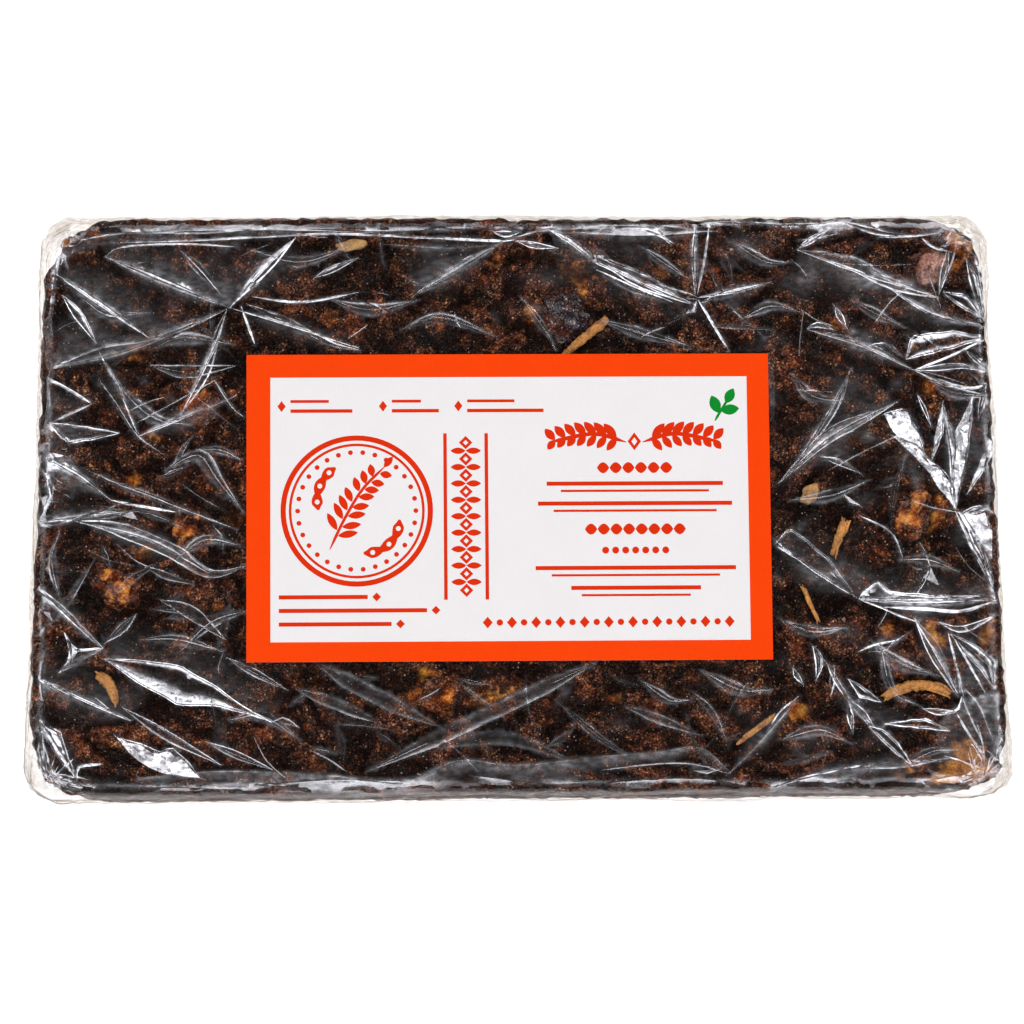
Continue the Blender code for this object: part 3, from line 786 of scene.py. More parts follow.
    # lower left
    c.strip([(40, 588), (71, 618), (103, 648)], 6, rims=(0.3, 0.35), slopes=(0.6, 0.6), haze=0.5)
    c.line([(103, 648), (80, 660), (58, 673)], 0.8, 0.5)
    c.facet([(42, 611, 0.1), (50, 613, 0.4), (52, 621, 0.1)])
    c.line([(64, 632), (71, 648), (68, 662), (59, 674)], 0.7, 0.45)
    c.facet([(67, 640, 0.05), (79, 650, 0.4), (72, 659, 0.05)])
    c.line([(74, 650), (88, 650), (101, 648)], 0.6, 0.4)
    c.lens(
        [(105, 659), (146, 661), (182, 667), (217, 688), (245, 708), (271, 722)],
        [(105, 659), (133, 679), (177, 704), (220, 706), (246, 713), (271, 722)],
        rims=(0.95, 1.9), slopes=(0.42, 0.42), haze=0.12,
    )
    c.strip([(40, 681), (84, 702), (131, 720)], 7, rims=(0.4, 0.75), slopes=(0.45, 0.42))
    c.pane(
        [(116, 737), (135, 759), (160, 773), (184, 777), (200, 778)],
        [(116, 737), (140, 744), (160, 752), (172, 748), (186, 760), (200, 778)],
    )
    c.pane([(42, 725), (52, 748), (64, 766), (77, 779)], [(42, 725), (60, 731), (66, 752), (77, 779)], haze=0.4, gleam=0.6)
    c.line([(38, 738), (42, 762), (56, 783), (92, 792)], 0.6, 0.45, 0.5, 0.5)
    c.line([(41, 732), (47, 758), (60, 778), (94, 787)], 0.5, 0.45, 0.5, 0.4)
    c.line([(77, 779), (79, 767), (103, 764)], 0.6, 0.5)
    c.strip([(123, 708), (170, 738), (221, 765)], 9, rims=(0.4, 0.3), slopes=(0.3, 0.4), haze=0.6, gleam=0.35)
    c.strip([(227, 658), (256, 674), (287, 690)], 7, rims=(0.4, 0.4), slopes=(0.32, 0.35), haze=0.5, gleam=0.3)
    c.strip([(206, 742), (238, 756), (273, 770)], 7, rims=(0.4, 0.4), slopes=(0.25, 0.3), haze=0.5, gleam=0.3)
    # soft folds of slack film, seen mostly as paler bands
    soft = (
        ([(99, 380), (117, 404), (138, 436), (165, 455)], 6, 0.5, 0.2), ([(117, 380), (129, 398), (156, 419), (190, 425)], 14, 0.7, 0.12),
        ([(214, 380), (232, 407), (245, 418)], 5, 0.5, 0.2), ([(81, 467), (120, 485), (150, 496), (190, 512), (238, 530)], 7, 0.6, 0.18),
        ([(165, 470), (198, 455), (217, 479), (243, 512)], 15, 0.7, 0.1), ([(201, 449), (221, 450), (241, 460)], 9, 0.7, 0.15),
        ([(175, 560), (205, 540), (240, 545)], 12, 0.6, 0.1), ([(150, 350), (182, 338), (236, 345)], 13, 0.6, 0.12),
        ([(250, 250), (300, 262), (352, 246)], 12, 0.5, 0.12), ([(330, 300), (372, 310), (420, 300)], 14, 0.6, 0.12),
        ([(400, 330), (440, 318), (500, 338)], 12, 0.55, 0.1), ([(520, 296), (545, 330), (556, 350)], 9, 0.5, 0.15),
        ([(600, 320), (640, 333), (690, 346)], 13, 0.6, 0.12), ([(730, 240), (765, 262), (790, 262)], 13, 0.6, 0.15),
        ([(740, 320), (770, 306), (800, 312)], 12, 0.6, 0.12), ([(640, 246), (662, 262), (690, 280)], 10, 0.6, 0.15),
        ([(790, 372), (812, 396), (846, 402)], 14, 0.6, 0.12), ([(850, 300), (880, 316), (906, 328)], 12, 0.6, 0.15),
        ([(930, 380), (952, 392), (990, 396)], 13, 0.8, 0.2), ([(790, 500), (830, 496), (870, 480)], 13, 0.6, 0.12),
        ([(780, 620), (812, 632), (846, 628)], 13, 0.6, 0.12), ([(870, 640), (900, 664), (940, 676)], 14, 0.65, 0.12),
        ([(900, 560), (930, 560), (960, 572)], 12, 0.7, 0.2), ([(880, 640), (892, 690), (920, 706)], 10, 0.6, 0.15),
        ([(780, 740), (820, 730), (852, 744)], 13, 0.6, 0.12), ([(900, 770), (930, 752), (960, 750)], 10, 0.6, 0.15),
        ([(700, 670), (740, 690), (772, 690)], 14, 0.6, 0.1), ([(640, 680), (668, 700), (690, 700)], 12, 0.5, 0.1),
        ([(230, 720), (262, 716), (300, 740)], 13, 0.6, 0.12), ([(250, 610), (212, 622), (180, 652)], 12, 0.5, 0.12),
        ([(60, 600), (52, 560), (60, 530)], 9, 0.6, 0.2), ([(140, 640), (178, 640), (224, 652)], 12, 0.6, 0.1),
        ([(84, 300), (110, 316), (150, 312)], 12, 0.6, 0.15), ([(180, 250), (200, 270), (222, 296)], 12, 0.55, 0.15),
    )
    sweeps = (
        ([(106, 257), (168, 284), (230, 308)], [(100, 240), (200, 238), (290, 240)], 0.65), ([(53, 272), (100, 305), (149, 338)], [(110, 262), (165, 290), (215, 312)], 0.6),
        ([(62, 295), (80, 318), (96, 343)], [(100, 312), (120, 325), (140, 338)], 0.7), ([(54, 368), (99, 348), (149, 340)], [(60, 310), (95, 318), (130, 330)], 0.7),
        ([(550, 228), (596, 263), (690, 305)], [(560, 290), (610, 310), (680, 330)], 0.45), ([(413, 296), (455, 270), (502, 242)], [(400, 250), (440, 244), (480, 240)], 0.55),
        ([(797, 250), (870, 277), (939, 297)], [(800, 300), (870, 320), (930, 325)], 0.6), ([(772, 545), (815, 572), (857, 598)], [(800, 520), (850, 540), (890, 570)], 0.55),
        ([(897, 402), (858, 421), (820, 455)], [(860, 370), (820, 390), (790, 430)], 0.55), ([(859, 600), (930, 603), (998, 599)], [(870, 565), (930, 560), (990, 565)], 0.55),
        ([(105, 659), (182, 667), (271, 722)], [(110, 620), (190, 630), (290, 690)], 0.5), ([(40, 681), (84, 702), (131, 720)], [(45, 640), (95, 655), (150, 690)], 0.5),
        ([(940, 720), (962, 700), (1000, 690)], [(930, 790), (960, 796), (1004, 790)], 0.9), ([(60, 260), (110, 244), (200, 240)], [(62, 232), (120, 226), (200, 224)], 0.7),
    )
    for edge, far, haze in sweeps:
        c.sweep(edge, far, haze)
    for end in ((930, 800), (948, 796), (962, 782), (1002, 740), (1000, 716), (968, 740), (944, 756), (976, 722), (1004, 762), (922, 782)):
        c.line([(984, 776), ((984 + end[0]) / 2 + 3, (776 + end[1]) / 2 - 3), end], 0.32, 0.38, 0.5, 0.45)
    for path, wide, haze, gleam in soft:
        c.strip(path, wide, rims=(0.5, 0.6), slopes=(0.30, 0.22), haze=haze, power=0.6, gleam=gleam, outlined=False)
        c.line(path, 0.24, 0.3, 0.4, gleam * 0.9)
    for corners, haze in (
        ([(940, 398), (1000, 402), (1000, 500), (958, 500)], 0.6), ([(846, 296), (905, 290), (986, 326), (912, 336)], 0.5),
        ([(800, 360), (880, 350), (892, 402), (820, 440)], 0.45), ([(898, 622), (998, 606), (996, 690), (950, 694)], 0.5),
        ([(700, 230), (790, 228), (790, 250), (720, 276)], 0.45), ([(560, 232), (650, 232), (690, 288), (610, 262)], 0.45),
        ([(60, 256), (110, 256), (150, 338), (70, 320)], 0.4), ([(244, 250), (296, 238), (330, 290), (240, 304)], 0.4),
    ):
        c.veil(corners, haze)
    # left middle
    c.strip([(40, 455), (80, 478), (111, 500)], 6, rims=(0.3, 0.35), slopes=(0.5, 0.5), haze=0.5)
    c.line([(111, 500), (134, 505), (176, 512)], 0.55, 0.45)
    c.strip([(39, 523), (55, 523), (72, 520)], 7, rims=(0.5, 0.5))
    c.line([(72, 520), (95, 513), (119, 504)], 0.6, 0.5)
    c.strip([(72, 520), (105, 517), (138, 511)], 7, rims=(0.4, 0.5), slopes=(0.4, 0.45))
    c.facet([(122, 516, 0.08), (132, 512, 0.45), (138, 520, 0.08)])
    c.strip([(74, 521), (115, 528), (172, 551), (210, 574), (247, 566)], 14, rims=(0.5, 0.4), slopes=(0.28, 0.3), haze=0.65, power=0.45, gleam=0.4)
    c.facet([(39, 486, 0.1), (50, 484, 0.5), (52, 498, 0.1)])
    c.facet([(41, 498, 0.1), (52, 502, 0.4), (46, 512, 0.1)])
    c.line([(42, 470), (50, 486), (44, 512)], 0.6, 0.45)
    c.strip([(136, 615), (122, 628), (105, 643)], 9, rims=(0.5, 0.5), slopes=(0.22, 0.22), haze=0.5, gleam=0.2)
    c.strip([(160, 600), (190, 612), (226, 640)], 12, rims=(0.6, 0.6), slopes=(0.2, 0.2), haze=0.4, gleam=0.15)
    c.strip([(150, 365), (186, 372), (236, 366)], 12, rims=(0.6, 0.6), slopes=(0.18, 0.2), haze=0.35, gleam=0.15)
    c.tent([(140, 778), (215, 772), (300, 774), (402, 781), (458, 761), (519, 766), (593, 758), (660, 752), (700, 748), (731, 773)], 5, 22, 0.3, 0.3, 0.75, 0.25, (0.3, 0.3))
    c.line([(60, 785), (180, 788), (330, 790), (420, 786)], 0.3, 0.3, 0.5, 0.1)
    c.line([(470, 776), (560, 784), (690, 779), (760, 788)], 0.3, 0.3, 0.5, 0.1)
    c.line([(250, 785), (340, 780), (402, 784)], 0.3, 0.3, 0.5, 0.12)
    c.line([(600, 770), (680, 763), (731, 774)], 0.3, 0.3, 0.5, 0.15)
    c.tent([(560, 232), (640, 236), (720, 231)], 14, 14, 0.25, 0.25, 0.6, 0.15)
    c.tent([(150, 232), (260, 230), (380, 233)], 10, 12, 0.25, 0.25, 0.6, 0.2)
    c.tent([(380, 244), (450, 249), (510, 243)], 10, 12, 0.28, 0.25, 0.5, 0.2)
    # the large panes' crests, whose skin sweeps away from a lit edge
    c.tent([(106, 257), (168, 284), (230, 308)], 26, 20, 0.34, 0.42, 0.35)
    c.tent([(53, 272), (100, 305), (149, 338)], 18, 24, 0.36, 0.42, 0.45)
    c.tent([(296, 237), (262, 272), (230, 308)], 22, 16, 0.42, 0.36, 0.4, 0.9)
    c.tent([(227, 309), (214, 350), (181, 414)], 16, 14, 0.34, 0.3, 0.35, 0.6)
    c.tent([(230, 308), (290, 326), (358, 348)], 14, 20, 0.3, 0.36, 0.35, 0.7)
    c.tent([(54, 368), (130, 350), (230, 308)], 24, 8, 0.3, 0.36, 0.5, 0.55, (0.2, 0))
    c.tent([(597, 262), (645, 284), (695, 304)], 16, 26, 0.34, 0.42, 0.4, 0.9, (0.5, 0))
    c.tent([(548, 229), (574, 246), (598, 264)], 18, 18, 0.4, 0.34, 0.35, 0.7)
    c.tent([(413, 296), (458, 270), (504, 241)], 22, 18, 0.3, 0.36, 0.45, 0.5)
    c.tent([(695, 296), (693, 258), (696, 226)], 16, 16, 0.36, 0.36, 0.35, 0.7)
    c.tent([(697, 298), (738, 292), (771, 282)], 14, 18, 0.4, 0.34, 0.35, 0.6)
    c.tent([(797, 250), (870, 277), (939, 297)], 18, 26, 0.3, 0.36, 0.55, 0.6)
    c.tent([(886, 286), (930, 314), (984, 326)], 20, 16, 0.34, 0.42, 0.45, 0.8)
    c.tent([(809, 330), (863, 347), (914, 370)], 20, 16, 0.3, 0.3, 0.5, 0.55)
    c.tent([(778, 484), (830, 438), (897, 402)], 20, 24, 0.34, 0.3, 0.5, 0.5)
    c.tent([(785, 478), (822, 424), (852, 368)], 16, 14, 0.3, 0.3, 0.45, 0.4)
    c.tent([(857, 598), (815, 572), (772, 538)], 24, 16, 0.34, 0.3, 0.5, 0.5)
    c.tent([(859, 600), (930, 604), (996, 599)], 14, 18, 0.42, 0.38, 0.4, 0.9)
    c.tent([(914, 618), (936, 655), (958, 694)], 14, 20, 0.34, 0.34, 0.5, 0.6)
    c.tent([(942, 404), (950, 450), (954, 508)], 20, 14, 0.4, 0.38, 0.35, 0.7)
    c.tent([(827, 664), (850, 702), (869, 726)], 16, 14, 0.34, 0.34, 0.35, 0.7)
    c.tent([(730, 773), (762, 738), (799, 696)], 20, 16, 0.3, 0.3, 0.5, 0.4)
    c.tent([(770, 788), (842, 769), (950, 758)], 12, 18, 0.3, 0.3, 0.5, 0.5, (0.3, 0.3))
    c.tent([(39, 589), (72, 620), (103, 649)], 18, 14, 0.4, 0.36, 0.35, 0.8, (0.4, 0))
    c.tent([(58, 673), (80, 660), (103, 649)], 12, 16, 0.4, 0.34, 0.35, 0.8)
    c.tent([(39, 679), (84, 701), (131, 721)], 14, 26, 0.36, 0.42, 0.35, 0.9, (0.3, 0))
    c.tent([(41, 722), (60, 750), (77, 779)], 20, 12, 0.36, 0.4, 0.35, 0.8, (0.3, 0))
    c.tent([(40, 455), (80, 478), (111, 500)], 18, 22, 0.34, 0.4, 0.45, 0.7, (0.4, 0))
    c.tent([(40, 522), (80, 517), (138, 511)], 16, 14, 0.36, 0.4, 0.45, 0.8, (0.3, 0))
    c.tent([(74, 521), (150, 541), (210, 574)], 18, 22, 0.34, 0.3, 0.55, 0.5)
    c.tent([(99, 352), (120, 392), (140, 436)], 16, 16, 0.28, 0.28, 0.4, 0.4)
    c.tent([(138, 436), (180, 420), (236, 396)], 16, 18, 0.3, 0.26, 0.45, 0.4)
    scatter_creases(c)
    return c


def scatter_creases(c):
    """The many small folds between the large ones, thickest towards the ends."""
    rng = np.random.default_rng(77)

    def place():
        while True:
            u, v = rng.uniform(42, 996), rng.uniform(228, 778)
            if not (238 < u < 782 and 345 < v < 668):
                return u, v

    for cu, cv, a0, a1 in ((66, 240, 150, 300), (962, 240, -120, 30), (52, 776, 60, 210), (976, 772, -30, 120)):
        for k in range(6):
            a = math.radians(rng.uniform(a0, a1))
            r0, r1 = rng.uniform(0, 14), rng.uniform(22, 58)
            du, dv = math.cos(a), math.sin(a)
            start = (cu - du * r1 * 0.55 + rng.normal(0, 7), cv - dv * r1 * 0.55 + rng.normal(0, 7))
            end = (cu + du * r0 + rng.normal(0, 5), cv + dv * r0 + rng.normal(0, 5))
            middle = ((start[0] + end[0]) / 2 + rng.normal(0, 3), (start[1] + end[1]) / 2 + rng.normal(0, 3))
            if k % 3 == 0:
                c.tent([start, middle, end], rng.uniform(6, 12), rng.uniform(7, 14), 0.32, 0.32, 0.4, rng.uniform(0.08, 0.28))
            else:
                c.line([start, middle, end], rng.uniform(0.25, 0.4), 0.34, 0.4, rng.uniform(0.08, 0.25))
    for k in range(170):
        u, v = place()
        lean = rng.choice([0.5, -0.45, 0.15, 1.2, -1.1]) + rng.normal(0, 0.2)
        long = rng.uniform(14, 60) * (1.0 if k % 3 else 1.6)
        du, dv = math.cos(lean) * long / 2, math.sin(lean) * long / 2
        bow = rng.normal(0, 0.05) * long
        points = [(u - du, v - dv), (u + dv * bow / long * 2, v - du * bow / long * 2), (u + du, v + dv)]
        if any(238 < a < 782 and 345 < b < 668 for a, b in points):
            continue
        if any(a < 34 or a > 1002 or b < 222 or b > 790 for a, b in points):
            continue
        kind = rng.random()
        if kind < 0.35:
            c.line(points, rng.uniform(0.22, 0.36), rng.uniform(0.2, 0.36), rng.uniform(0.1, 0.35), rng.uniform(0.02, 0.22))
        elif kind < 0.66:
            c.strip(
                points, rng.uniform(4, 11), rims=(rng.uniform(0.3, 0.6), rng.uniform(0.3, 0.6)),
                slopes=(rng.uniform(0.14, 0.36), rng.uniform(0.12, 0.32)), haze=rng.uniform(0.25, 0.7),
                gleam=rng.uniform(0.05, 0.45) ** 1.5, power=rng.uniform(0.6, 0.95), outlined=k % 8 == 0,
            )
        else:
            w = rng.uniform(4, 12)
            side = (-math.sin(lean) * w, math.cos(lean) * w)
            c.veil([points[0], (u + side[0], v + side[1]), points[2], (u - side[0], v - side[1])], rng.uniform(0.4, 0.9))


# ------------------------------------------------------------------ the materials


def new_material(name):
    made = bpy.data.materials.new(name)
    made.use_nodes = True
    tree = made.node_tree
    tree.nodes.clear()
    return made, tree


def node(tree, kind, inputs=None, **settings):
    made = tree.nodes.new(kind)
    for key, value in settings.items():
        setattr(made, key, value)
    for key, value in (inputs or {}).items():
        socket = made.inputs[key]
        if isinstance(value, bpy.types.NodeSocket):
            tree.links.new(value, socket)
        else:
            socket.default_value = value
    return made


def sums(tree, kind, a, b, clamp=False):
    made = node(tree, "ShaderNodeMath", operation=kind, use_clamp=clamp)
    for k, value in enumerate((a, b)):
        if isinstance(value, bpy.types.NodeSocket):
            tree.links.new(value, made.inputs[k])
        elif value is not None:
            made.inputs[k].default_value = value
    return made.outputs[0]


def ramp(tree, factor, stops, kind="LINEAR"):
    made = node(tree, "ShaderNodeValToRGB", {"Fac": factor})
    made.color_ramp.interpolation = kind
    elements = made.color_ramp.elements
    while len(elements) > len(stops):
        elements.remove(elements[-1])
    for k, (where, colour) in enumerate(stops):
        e = elements[k] if k < len(elements) else elements.new(where)
        e.position = where
        if isinstance(colour, (int, float)):
            colour = (colour, colour, colour)
        e.color = (*colour, 1)
    return made.outputs["Color"]


def blend_colour(tree, factor, a, b, kind="MIX"):
    made = node(tree, "ShaderNodeMix", data_type="RGBA", blend_type=kind, clamp_factor=True)
    for key, value in ((0, factor), (6, a), (7, b)):
        if isinstance(value, bpy.types.NodeSocket):
            tree.links.new(value, made.inputs[key])
        elif key == 0:
            made.inputs[0].default_value = value
        else:
            made.inputs[key].default_value = (*value, 1)
    return made.outputs[2]


def noise_node(tree, where, scale, detail=3.0, rough=0.6, distortion=0.0):
    return node(
        tree, "ShaderNodeTexNoise",
        {"Vector": where, "Scale": scale, "Detail": detail, "Roughness": rough, "Distortion": distortion},
        noise_dimensions="3D",
    ).outputs["Fac"]


def attribute(tree, name):
    return node(tree, "ShaderNodeAttribute", attribute_name=name).outputs["Fac"]


def place_of(tree):
    return node(tree, "ShaderNodeTexCoord").outputs["Object"]


def pulp_material(name="pulp", hues=((0.060, 0.010, 0.003), (0.29, 0.068, 0.008), (0.70, 0.28, 0.036)), crumbs_and_sparkle=1.0, sheen=0.10, speck_and_sparkle_hue=(0.58, 0.25, 0.075), curls=((0.30, 0.095, 0.024), (0.56, 0.245, 0.085), (0.66, 0.48, 0.36)), top_hue=(0.74, 0.40, 0.14)):
    """Sticky, torn pulp with crumb specks, torn strands and sugary grains whose pale specks are partly painted sparkle,
    painted shade in its crevices, and hues for its see-through flesh and the painted lit parts of seeds.
    """
    made, tree = new_material(name)
    where = place_of(tree)
    painted_shade = attribute(tree, "painted_shade")
    amber_and_painted_light = attribute(tree, "amber_and_painted_light")
    broad = noise_node(tree, where, 110, 3, 0.6, 0.4)
    soft = noise_node(tree, where, 260, 2, 0.55, 0.8)
    middle = noise_node(tree, where, 480, 4, 0.7, 0.6)
    wet = noise_node(tree, where, 1050, 1, 0.5, 1.1)
    fine = noise_node(tree, where, 2500, 1, 0.7, 0.0)
    curl = noise_node(tree, where, 1250, 1, 0.5, 1.8)
    grain = node(tree, "ShaderNodeTexVoronoi", {"Vector": where, "Scale": 1500.0, "Randomness": 1.0}, feature="F1")
    grain_dice = node(tree, "ShaderNodeSeparateColor", {"Color": grain.outputs["Color"]})

    base = ramp(tree, middle, [
        (0.32, (0.0100, 0.0026, 0.0020)), (0.45, (0.040, 0.0125, 0.0085)),
        (0.56, (0.088, 0.0275, 0.0145)), (0.72, (0.200, 0.0660, 0.0250)),
    ])
    tone = ramp(tree, broad, [(0.34, (0.42, 0.34, 0.32)), (0.5, (0.98, 0.9, 0.88)), (0.66, (1.45, 1.10, 0.84))])
    colour = blend_colour(tree, 1.0, base, tone, "MULTIPLY")
    # amber, see-through flesh; on the seeds the same value also carries painted light on their tops and one side
    amber_hue = ramp(tree, sums(tree, "ADD", soft, sums(tree, "MULTIPLY", sums(tree, "SUBTRACT", amber_and_painted_light, 0.6), 0.30)), [(0.32, hues[0]), (0.50, hues[1]), (0.68, hues[2]), (0.88, top_hue)])
    share = ramp(tree, sums(tree, "ADD", amber_and_painted_light, sums(tree, "MULTIPLY", sums(tree, "SUBTRACT", middle, 0.5), 0.8)), [(0.12, 0.0), (0.62, 1.0)])
    share = sums(tree, "MULTIPLY", share, ramp(tree, amber_and_painted_light, [(0.02, 0.0), (0.15, 1.0)]))
    colour = blend_colour(tree, share, colour, amber_hue)
    grit = ramp(tree, fine, [(0.36, 0.42), (0.5, 1.0), (0.64, 2.0)])
    colour = blend_colour(tree, sums(tree, "SUBTRACT", 1.0, sums(tree, "MULTIPLY", share, 0.45)), colour, blend_colour(tree, 1.0, colour, grit, "MULTIPLY"))
    # crumbs and torn threads, whose pale orange and whitish specks are partly painted sparkle
    dot = ramp(tree, grain.outputs["Distance"], [(0.16, 1.0), (0.36, 0.0)])
    pick = ramp(tree, grain_dice.outputs[0], [(0.64, 0.0), (0.70, crumbs_and_sparkle)])
    speck = sums(tree, "MULTIPLY", sums(tree, "MULTIPLY", dot, pick), ramp(tree, middle, [(0.38, 0.25), (0.52, 1.0)]))
    colour = blend_colour(tree, speck, colour, speck_and_sparkle_hue)
    threads_and_sparkle = ramp(tree, curl, [(0.440, 0.0), (0.485, 1.0), (0.500, 1.0), (0.545, 0.0)])
    where_threads_and_sparkle = ramp(tree, fine, [(0.49, 0.0), (0.57, crumbs_and_sparkle)])
    threads_and_sparkle = sums(tree, "MULTIPLY", sums(tree, "MULTIPLY", threads_and_sparkle, where_threads_and_sparkle), ramp(tree, soft, [(0.38, 0.35), (0.56, 1.0)]))
    colour = blend_colour(tree, threads_and_sparkle, colour, ramp(tree, wet, [(0.40, curls[0]), (0.52, curls[1]), (0.64, curls[2])]))
    # painted shade: darker in the crevices and lighter where the pulp lies against the film, less so over strong amber
    shade = ramp(tree, painted_shade, [(0.0, 1.3), (0.25, 0.85), (0.6, 0.36), (1.0, 0.12)])
    colour = blend_colour(tree, ramp(tree, amber_and_painted_light, [(0.6, 1.0), (0.95, 0.3)]), colour, shade, "MULTIPLY")
    # grains of sugar: painted glints, pale specks put in the colour, with real shine as well
    some = ramp(tree, grain_dice.outputs[2], [(0.84, 0.0), (0.91, 1.0)])
    sugar_glint = sums(tree, "MULTIPLY", ramp(tree, grain.outputs["Distance"], [(0.10, 1.0), (0.24, 0.0)]), some)
    colour = blend_colour(tree, sums(tree, "MULTIPLY", sugar_glint, 0.75), colour, (0.62, 0.47, 0.38))

    sticky = ramp(tree, soft, [(0.44, 0.02), (0.64, sheen)])
    shine = sums(tree, "ADD", sticky, sums(tree, "MULTIPLY", sugar_glint, 0.8))
    rough = sums(tree, "SUBTRACT", 0.17, sums(tree, "MULTIPLY", sugar_glint, 0.09))
    height = sums(tree, "ADD", wet, sums(tree, "MULTIPLY", soft, 0.9))
    bump = node(tree, "ShaderNodeBump", {"Height": height, "Strength": 1.0, "Distance": 0.00060})
    shader = node(
        tree, "ShaderNodeBsdfPrincipled",
        {"Base Color": colour, "Roughness": rough, "Specular IOR Level": shine, "Normal": bump.outputs[0]},
    )
    out = node(tree, "ShaderNodeOutputMaterial")
    tree.links.new(shader.outputs[0], out.inputs[0])
    return made


def film_material():
    made, tree = new_material("clear_film")
    where = place_of(tree)
    haze = attribute(tree, "haze")
    free = attribute(tree, "free")
    grain = noise_node(tree, where, 1300, 1, 0.6, 0.0)
    coarse = noise_node(tree, where, 380, 1, 0.6, 0.0)
    streak_place = node(tree, "ShaderNodeMapping", {"Vector": where, "Scale": (0.7, 1.5, 1.0), "Rotation": (0, 0, 0.75)})
    streak = noise_node(tree, streak_place.outputs[0], 1100, 0, 0.5, 0.0)
    cling = sums(tree, "SUBTRACT", 1.0, free)
    height = sums(tree, "MULTIPLY", sums(tree, "ADD", sums(tree, "MULTIPLY", cling, 0.75), 0.12), grain)
    bump = node(tree, "ShaderNodeBump", {"Height": height, "Strength": 0.5, "Distance": 0.00016})
    shine = node(tree, "ShaderNodeFresnel", {"IOR": 1.45})
    glaze = sums(tree, "MINIMUM", sums(tree, "MULTIPLY", shine.outputs[0], 1.3), 0.10)
    mottle = sums(tree, "ADD", sums(tree, "MULTIPLY", streak, 0.45), sums(tree, "MULTIPLY", coarse, 0.55))
    milk = sums(tree, "MULTIPLY", haze, ramp(tree, mottle, [(0.34, 0.45), (0.66, 1.0)]))
    glint = sums(tree, "MULTIPLY", attribute(tree, "gleam"), ramp(tree, mottle, [(0.36, 0.35), (0.6, 1.0)]))
    glint = sums(tree, "MULTIPLY", glint, ramp(tree, grain, [(0.34, 0.15), (0.42, 1.0)]))
    glaze = sums(tree, "MULTIPLY", glaze, sums(tree, "SUBTRACT", 1.0, sums(tree, "MULTIPLY", attribute(tree, "brim"), 0.8)))
    factor = sums(tree, "ADD", sums(tree, "ADD", glaze, sums(tree, "MULTIPLY", milk, 0.40)), sums(tree, "MULTIPLY", glint, 0.5))
    factor = sums(tree, "MINIMUM", factor, 0.85)
    metal = sums(tree, "SUBTRACT", 0.96, sums(tree, "MULTIPLY", milk, 0.34))
    rough = sums(tree, "ADD", 0.06, sums(tree, "MULTIPLY", milk, sums(tree, "ADD", 0.08, sums(tree, "MULTIPLY", sums(tree, "MULTIPLY", milk, milk), 0.25))))
    edge = sums(tree, "MULTIPLY", attribute(tree, "rim"), ramp(tree, mottle, [(0.35, 1.0), (0.65, 0.35)]))
    tint = blend_colour(tree, edge, (0.985, 0.985, 0.99), (0.62, 0.555, 0.485))
    clear = node(tree, "ShaderNodeBsdfTransparent", {"Color": tint})
    skin = node(
        tree, "ShaderNodeBsdfPrincipled",
        {"Base Color": (0.85, 0.85, 0.915, 1), "Metallic": metal, "Roughness": rough, "Normal": bump.outputs[0]},
    )
    mix = node(tree, "ShaderNodeMixShader", {"Fac": factor})
    tree.links.new(clear.outputs[0], mix.inputs[1])
    tree.links.new(skin.outputs[0], mix.inputs[2])
    out = node(tree, "ShaderNodeOutputMaterial")
    tree.links.new(mix.outputs[0], out.inputs[0])
    return made


def print_material(name, colour, gloss, mottle=0.06):
    """Paper or ink: a colour with faint fibres and uneven printing."""
    made, tree = new_material(name)
    where = place_of(tree)
    fibre_place = node(tree, "ShaderNodeMapping", {"Vector": where, "Scale": (1.0, 0.45, 1.0), "Rotation": (0, 0, 0.7)})
    fibre = noise_node(tree, fibre_place.outputs[0], 2600, 4, 0.7, 1.0)
    cloud = noise_node(tree, where, 160, 3, 0.5)
    darker = tuple(c * (1 - mottle * 1.6) for c in colour)
    tone = ramp(tree, sums(tree, "ADD", sums(tree, "MULTIPLY", fibre, 0.6), sums(tree, "MULTIPLY", cloud, 0.4)), [(0.35, darker), (0.6, colour)])
    rough = ramp(tree, fibre, [(0.3, gloss - 0.06), (0.7, gloss + 0.08)])
    bump = node(tree, "ShaderNodeBump", {"Height": fibre, "Strength": 0.12, "Distance": 0.0001})
    shader = node(
        tree, "ShaderNodeBsdfPrincipled",
        {"Base Color": tone, "Roughness": rough, "Specular IOR Level": 0.06, "Normal": bump.outputs[0]},
    )
    out = node(tree, "ShaderNodeOutputMaterial")
    tree.links.new(shader.outputs[0], out.inputs[0])
    return made


def woody_material(name, dark, light, scale=700, stretch=(1, 1, 1), rough=(0.3, 0.6), spec=0.5, bump_depth=0.0002):
    made, tree = new_material(name)
    where = place_of(tree)
    mapped = node(tree, "ShaderNodeMapping", {"Vector": where, "Scale": stretch}).outputs[0]
    grain = noise_node(tree, mapped, scale, 4, 0.65, 0.8)
    broad = noise_node(tree, where, scale * 0.25, 2, 0.5)
    both = sums(tree, "ADD", sums(tree, "MULTIPLY", grain, 0.6), sums(tree, "MULTIPLY", broad, 0.4))
    tone = ramp(tree, both, [(0.34, dark), (0.64, light)])
    roughness = ramp(tree, grain, [(0.3, rough[0]), (0.7, rough[1])])
    bump = node(tree, "ShaderNodeBump", {"Height": grain, "Strength": 0.8, "Distance": bump_depth})
    shader = node(
        tree, "ShaderNodeBsdfPrincipled",
        {"Base Color": tone, "Roughness": roughness, "Specular IOR Level": spec, "Normal": bump.outputs[0]},
    )
    out = node(tree, "ShaderNodeOutputMaterial")
    tree.links.new(shader.outputs[0], out.inputs[0])
    return made


# --------------------------------------------------------------- pulp and film


def pressed(q, p):
    """The film's own slack over the front, in mm below its highest: wide and gentle."""
    return 0.32 + 0.30 * perlin(p / 21, 41) + 0.16 * perlin(p / 9.5, 43)


